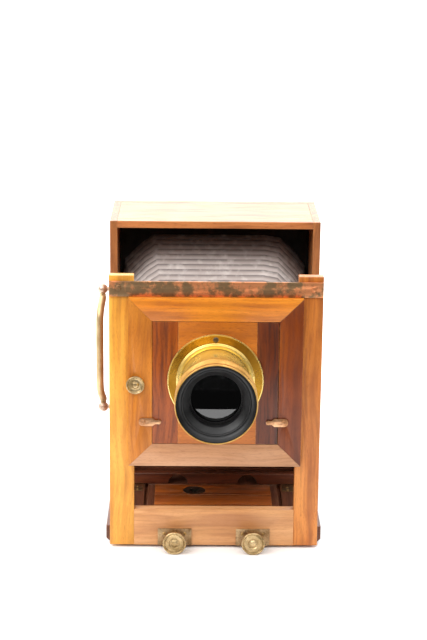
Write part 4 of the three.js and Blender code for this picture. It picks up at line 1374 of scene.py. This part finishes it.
@dataclass
class PlateScrews:
    """Small round-headed screws that hold the plates and hinges, made by one geometry-nodes tree."""

    plate_head: float = 1.7
    hinge_head: float = 1.5
    leaf_head: float = 1.4
    height: float = 0.7
    slot: float = 0.4
    plate_inset: float = 6.6
    plate_drop: float = 5.4

    def tree(self) -> bpy.types.NodeTree:
        """Geometry nodes: a slotted dome on every point, turned at random about the way it faces."""
        group = bpy.data.node_groups.new("plate_screws", "GeometryNodeTree")
        group.interface.new_socket("Points", in_out="INPUT", socket_type="NodeSocketGeometry")
        for name, value in (("Head", 0.0015), ("Height", 0.0007), ("Slot", 0.0004)):
            socket = group.interface.new_socket(name, in_out="INPUT", socket_type="NodeSocketFloat")
            socket.default_value = value
        group.interface.new_socket("Facing", in_out="INPUT", socket_type="NodeSocketVector")
        group.interface.new_socket("Seed", in_out="INPUT", socket_type="NodeSocketInt")
        group.interface.new_socket("Metal", in_out="INPUT", socket_type="NodeSocketMaterial")
        group.interface.new_socket("Screws", in_out="OUTPUT", socket_type="NodeSocketGeometry")
        given = add(group, "NodeGroupInput").outputs
        ball = add(group, "GeometryNodeMeshUVSphere", {"Segments": 20, "Rings": 10, "Radius": given["Head"]})
        height, head = given["Height"], given["Head"]
        flat = add(group, "ShaderNodeMath", {0: height, 1: head}, operation="DIVIDE").outputs[0]
        squash = add(group, "ShaderNodeCombineXYZ", {"X": 1.0, "Y": 1.0, "Z": flat}).outputs[0]
        dome = add(group, "GeometryNodeTransform", {"Geometry": ball.outputs["Mesh"], "Scale": squash})
        long = add(group, "ShaderNodeMath", {0: head, 1: 3.0}, operation="MULTIPLY").outputs[0]
        size = add(group, "ShaderNodeCombineXYZ", {"X": long, "Y": given["Slot"], "Z": height}).outputs[0]
        knife = add(group, "GeometryNodeMeshCube", {"Size": size}).outputs["Mesh"]
        lift = add(group, "ShaderNodeCombineXYZ", {"X": 0.0, "Y": 0.0, "Z": height}).outputs[0]
        raised = add(group, "GeometryNodeTransform", {"Geometry": knife, "Translation": lift})
        whole = {"Mesh 1": dome.outputs["Geometry"]}
        cut = add(group, "GeometryNodeMeshBoolean", whole, operation="DIFFERENCE")
        group.links.new(raised.outputs["Geometry"], cut.inputs["Mesh 2"])
        facing = {"Vector": given["Facing"]}
        way = add(group, "FunctionNodeAlignRotationToVector", facing, axis="Z").outputs[0]
        spin = {3: math.tau, "Seed": given["Seed"]}
        angle = add(group, "FunctionNodeRandomValue", spin, data_type="FLOAT").outputs[1]
        about = add(group, "ShaderNodeCombineXYZ", {"X": 0.0, "Y": 0.0, "Z": angle}).outputs[0]
        own = add(group, "FunctionNodeEulerToRotation", {"Euler": about}).outputs[0]
        spun = {"Rotation": way, "Rotate By": own}
        turn = add(group, "FunctionNodeRotateRotation", spun, rotation_space="LOCAL")
        spots = {"Points": given["Points"], "Instance": cut.outputs["Mesh"], "Rotation": turn.outputs[0]}
        placed = add(group, "GeometryNodeInstanceOnPoints", spots).outputs[0]
        real = add(group, "GeometryNodeRealizeInstances", {"Geometry": placed}).outputs[0]
        dressed = {"Geometry": real, "Material": given["Metal"]}
        done = add(group, "GeometryNodeSetMaterial", dressed).outputs[0]
        add(group, "NodeGroupOutput", {"Screws": done})
        return group

    def field(
        self,
        group: bpy.types.NodeTree,
        name: str,
        body: str,
        spots: Sequence[Vector],
        facing: Vector,
        head: float,
    ) -> None:
        """Puts a screw at each spot.

        Args:
            group: the screw tree.
            name: the piece's name.
            body: the body that it rides on.
            spots: the places, in metres.
            facing: the way the heads face.
            head: head radius in millimetres.
        """
        points = bpy.data.meshes.new(name)
        points.from_pydata([tuple(s) for s in spots], [], [])
        work = scratch(points)
        nodes = work.modifiers.new("screws", "NODES")
        nodes.node_group = group
        values = {
            "Head": head * MM,
            "Height": self.height * MM,
            "Slot": self.slot * MM,
            "Facing": tuple(facing),
            "Seed": len(spots),
            "Metal": SCREW_BRASS.material(),
        }
        for item in group.interface.items_tree:
            if item.in_out == "INPUT" and item.name in values:
                nodes[item.identifier] = values[item.name]
        mesh = evaluated(work)
        piece(name, mesh, body, [SCREW_BRASS])

    def build(self) -> None:
        """Places the screws of the thumb plates, the bed hinges and the screen hinges."""
        group = self.tree()
        plates = []
        for side in ("left", "right"):
            lo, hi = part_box(f"thumb_plate_{side}")
            for inset in (self.plate_inset * MM, hi.x - lo.x - self.plate_inset * MM):
                plates.append(Vector((lo.x + inset, lo.y, hi.z - self.plate_drop * MM)))
        self.field(group, "thumb_plate_screws", "bed", plates, FRONT, self.plate_head)
        hinges = []
        for side in ("left", "right"):
            lo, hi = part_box(f"tail_hinge_{side}")
            for x in (lo.x + 6 * MM, hi.x - 6 * MM):
                for y in (lo.y + 5 * MM, lo.y + 13 * MM, hi.y - 13 * MM, hi.y - 5 * MM):
                    hinges.append(Vector((x, y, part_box("bed_panel")[1].z)))
        self.field(group, "tail_hinge_screws", "bed", hinges, Vector((0, 0, 1)), self.hinge_head)
        for node, body in (("screen_hinge", "rear_box"), ("screen_leaf", "screen")):
            spots = []
            for place in ("lower", "upper"):
                lo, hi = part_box(f"{node}_{place}")
                edge = lo.y + 5 * MM if body == "rear_box" else hi.y - 4 * MM
                for share in (0.15, 0.5, 0.85):
                    spots.append(Vector((lo.x + 0.9 * MM, edge, lo.z + (hi.z - lo.z) * share)))
            self.field(group, f"{node}_screws", body, spots, Vector((1, 0, 0)), self.leaf_head)


# ---------------------------------------------------------------- studio


@dataclass
class Studio:
    """Pale floor, soft overhead light with a brighter left side, and the camera."""

    camera_place: tuple[float, float, float] = (-23.23, -1778.4, 704.8)
    down: float = 15.227
    yaw: float = 0.695
    roll: float = 0.631
    focal: float = 100.125
    sensor: float = 36.0
    ceiling: float = 2.4
    backdrop: float = 3.5
    key: float = 30.0
    table_edge: float = -0.6

    def build_camera(self) -> None:
        """Places the camera a little above the object, looking slightly down."""
        data = bpy.data.cameras.new("camera")
        data.lens, data.sensor_width, data.clip_end = self.focal, self.sensor, 100.0
        down, yaw, roll = (math.radians(v) for v in (self.down, self.yaw, self.roll))
        ahead = Vector((math.sin(yaw) * math.cos(down), math.cos(yaw) * math.cos(down), -math.sin(down)))
        right = Vector((math.cos(yaw), -math.sin(yaw), 0))
        up = right.cross(ahead)
        side = right * math.cos(roll) + up * math.sin(roll)
        top = up * math.cos(roll) - right * math.sin(roll)
        camera = bpy.data.objects.new("camera", data)
        camera.matrix_world = Matrix(
            [[side[i], top[i], -ahead[i], self.camera_place[i] * MM] for i in range(3)] + [[0, 0, 0, 1]]
        )
        bpy.context.scene.collection.objects.link(camera)
        bpy.context.scene.camera = camera

    def build_floor(self) -> None:
        """Lays a pale table top under the lowest point of the object. It ends a little in front of it."""
        shape = bmesh.new()
        bmesh.ops.create_grid(shape, x_segments=1, y_segments=1, size=30.0)
        for vert in shape.verts:
            vert.co.y = max(vert.co.y, self.table_edge)
            vert.co.z = CAD_BOX[0].z
        mesh = mesh_from(shape, "floor", None)
        material, tree, surface = shader("pale_floor_board", Roughness=0.7)
        place = add(tree, "ShaderNodeTexCoord").outputs["Object"]
        tint = mixed(tree, noise(tree, place, 3.0), linear("f3f3f3"), linear("efefef"))
        tree.links.new(tint, surface.inputs["Base Color"])
        floor = bpy.data.objects.new("floor", mesh)
        mesh.materials.append(material)
        bpy.context.scene.collection.objects.link(floor)

    def build_light(self) -> None:
        """Lights a bright ceiling and backdrop in a dark room, and one large soft box at the upper left."""
        world = bpy.data.worlds.new("studio")
        bpy.context.scene.world = world
        world.use_nodes = True
        tree = world.node_tree
        way = add(tree, "ShaderNodeTexCoord").outputs["Generated"]
        parts = add(tree, "ShaderNodeSeparateXYZ", {"Vector": way}).outputs
        above = remap(tree, parts["Z"], (0.15, 0.6), (0.0, self.ceiling))
        left = remap(tree, parts["X"], (-0.9, 0.9), (1.3, 0.7))
        ceiling = add(tree, "ShaderNodeMath", {0: above, 1: left}, operation="MULTIPLY").outputs[0]
        sweep = remap(tree, parts["Y"], (0.0, 0.6), (0.03, self.backdrop))
        light = add(tree, "ShaderNodeMath", {0: ceiling, 1: sweep}, operation="MAXIMUM").outputs[0]
        seen = add(tree, "ShaderNodeLightPath").outputs["Is Camera Ray"]
        shown = add(tree, "ShaderNodeMath", {0: light, 1: seen}, operation="MAXIMUM").outputs[0]
        sky = tree.nodes["Background"]
        sky.inputs["Color"].default_value = (1.0, 1.0, 1.0, 1.0)
        tree.links.new(shown, sky.inputs["Strength"])
        data = bpy.data.lights.new("soft_box", "AREA")
        data.shape, data.size, data.size_y, data.energy = "RECTANGLE", 1.6, 1.6, self.key
        lamp = bpy.data.objects.new("soft_box", data)
        lamp.location = (-1.9, -1.7, 2.1)
        lamp.rotation_mode = "QUATERNION"
        lamp.rotation_quaternion = (Vector((0, 0, 0.15)) - lamp.location).to_track_quat("-Z", "Y")
        bpy.context.scene.collection.objects.link(lamp)
        bpy.context.scene.view_settings.view_transform = "Standard"

    def build(self) -> None:
        """Builds camera, floor and light."""
        self.build_camera()
        self.build_floor()
        self.build_light()


# ---------------------------------------------------------------- the camera's parts


@dataclass
class Bed:
    """Bed with a panel of four boards between grooved rails, the tailboard and its hinges."""

    boards: int = 4
    groove: float = 0.7

    def build_panel(self) -> None:
        """Cuts a fine joint line between the panel's boards."""
        lo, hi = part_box("bed_panel")
        wide, deep = self.groove * MM / 2, self.groove * MM
        cuts = []
        for number in range(1, self.boards):
            y = lo.y + (hi.y - lo.y) * number / self.boards
            cuts.append(bar((lo.x - 0.01, y - wide, hi.z - deep), (hi.x + 0.01, y + wide, hi.z + 0.01)))
        mesh = eased("bed_panel", 0.25, cuts)
        piece("bed_panel_boards", mesh, "bed", [BED_BOARD], ["bed_panel"])

    def build(self) -> None:
        """Builds the bed's pieces."""
        self.build_panel()
        boards = {"bed_rail_left": BED_RAIL, "bed_rail_right": BED_RAIL, "tailboard": BED_RAIL}
        boards["tail_batten"] = DARK
        Joinery(boards).build()
        Joinery({"tail_hinge_left": AGED_BRASS, "tail_hinge_right": AGED_BRASS}, 0.2, "polished").build()


@dataclass
class Upright:
    """Fixed front upright: stiles, bottom rail, brass strap and the plates of the thumb screws."""

    def build(self) -> None:
        """Builds the upright's pieces."""
        Joinery({"upright_stile_left": AMBER, "upright_stile_right": PINK, "upright_rail": TAN}, 0.6).build()
        metal = {"strap": COPPERY, "thumb_plate_left": AGED_BRASS, "thumb_plate_right": AGED_BRASS}
        Joinery(metal, 0.3, "filed").build()


@dataclass
class RisingPanel:
    """Mitred rising frame with its keepers, the two turn clips and the lens board."""

    seam: float = 0.05

    def build_board(self) -> None:
        """Closes the panel of the lens board up to its cleats, with the finest of joint lines."""
        node = "lens_board_panel"
        mesh = eased(node, 0.2)
        lo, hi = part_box(node)
        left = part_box("lens_board_cleat_left")[1].x + self.seam * MM
        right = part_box("lens_board_cleat_right")[0].x - self.seam * MM
        for vert in mesh.vertices:
            if vert.co.x < lo.x + 0.25 * MM:
                vert.co.x += left - lo.x
            elif vert.co.x > hi.x - 0.25 * MM:
                vert.co.x += right - hi.x
        piece(f"{node}_eased", mesh, "rising_front", [PANEL], [node])

    def build(self) -> None:
        """Builds the panel's pieces."""
        mitred = {
            "rising_rail_top": HONEY,
            "rising_rail_bottom": CLAY,
            "rising_stile_left": HONEY_UP,
            "rising_stile_right": RUSSET_UP,
            "rising_keeper_left": DARK,
            "rising_keeper_right": DARK,
        }
        Joinery(mitred, 0.4).build()
        Joinery({"lens_board_cleat_left": CLEAT_LEFT, "lens_board_cleat_right": CLEAT_RIGHT}, 0.2).build()
        self.build_board()
        Joinery({"turn_clip_left": CLIP_BRASS, "turn_clip_right": CLIP_BRASS}, 0.25, "filed").build()


@dataclass
class RearBox:
    """Sliding box: sides, lid, arched front rail, floor and the back frame that holds the bellows."""

    bare: float = 66.0
    ease: float = 0.5

    def build_lined(self, node: str, finish: Walnut, inward: Vector) -> None:
        """Eases a board and paints its inner face matt black from behind the bellows' mouth to the back.

        Args:
            node: the CAD node.
            finish: the wood.
            inward: the way that its inner face looks.
        """
        shape = cad_copy(node)
        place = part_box(node)[0].y + self.bare * MM
        divide(shape, Vector((0, place, 0)), Vector((0, 1, 0)))
        mesh = bevelled(mesh_from(shape, node, None), self.ease)
        numbers = [int(f.normal.dot(inward) > 0.9 and f.center.y > place) for f in mesh.polygons]
        made = piece(f"{node}_lined", mesh, body_of(node), [finish, MATT_BLACK], [node])
        made.data.polygons.foreach_set("material_index", numbers)

    def build(self) -> None:
        """Builds the box's pieces."""
        self.build_lined("box_side_left", BROWN_UP, Vector((1, 0, 0)))
        self.build_lined("box_side_right", BROWN_UP, Vector((-1, 0, 0)))
        self.build_lined("box_lid", BROWN, Vector((0, 0, -1)))
        Joinery({"box_front_rail": DARK, "box_floor": DARK}, self.ease).build()
        FrameJoinery("back_frame", BROWN_UP, BROWN, 0.086, MATT_BLACK).build()
        Joinery({"screen_hinge_lower": AGED_BRASS, "screen_hinge_upper": AGED_BRASS}, 0.15, "filed").build()


@dataclass
class Screen:
    """Focusing screen: jointed frame, ground glass, pull and hinge leaves."""

    def build_pull(self) -> None:
        """Turned brass pull on the free side."""
        node = "screen_pull"
        lo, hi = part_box(node)
        centre = (lo + hi) / 2
        centre.y = lo.y
        wide = (hi.x - lo.x) / MM / 2
        long = (hi.y - lo.y) / MM
        outline = [(0.0, 0.0), (1.8, 0.0), (1.8, 5.1), (4.4, 5.1), (4.4, 6.2), (2.4, 7.4), (2.4, 9.4)]
        for i in range(9):
            angle = math.pi / 2 * i / 8
            outline.append((wide * math.cos(angle), long - 2.8 + 2.8 * math.sin(angle)))
        outline[-1] = (0.0, long)
        mesh = mesh_from(turned(softened(outline, 0.3), centre, Vector((0, 1, 0)), 64), node)
        piece("screen_pull_turned", mesh, "screen", [AGED_BRASS], [node])

    def build(self) -> None:
        """Builds the screen's pieces."""
        FrameJoinery("screen_frame", BROWN_UP, BROWN, 0.0872).build()
        Joinery({"ground_glass": GROUND_GLASS}, 0.3, "cut").build()
        Joinery({"screen_leaf_lower": AGED_BRASS, "screen_leaf_upper": AGED_BRASS}, 0.15, "filed").build()
        self.build_pull()


def main() -> None:
    """Builds the studio and every sub-assembly in order."""
    logging.basicConfig(level=logging.INFO, format="%(name)s %(message)s")
    for part in (
        Studio(),
        Bed(),
        Upright(),
        RisingPanel(),
        Lens(),
        Bellows(),
        RearBox(),
        Screen(),
        Knobs(),
        Handle(),
        PlateScrews(),
    ):
        LOG.info("building %s", type(part).__name__)
        part.build()


if __name__ == "__main__":
    main()
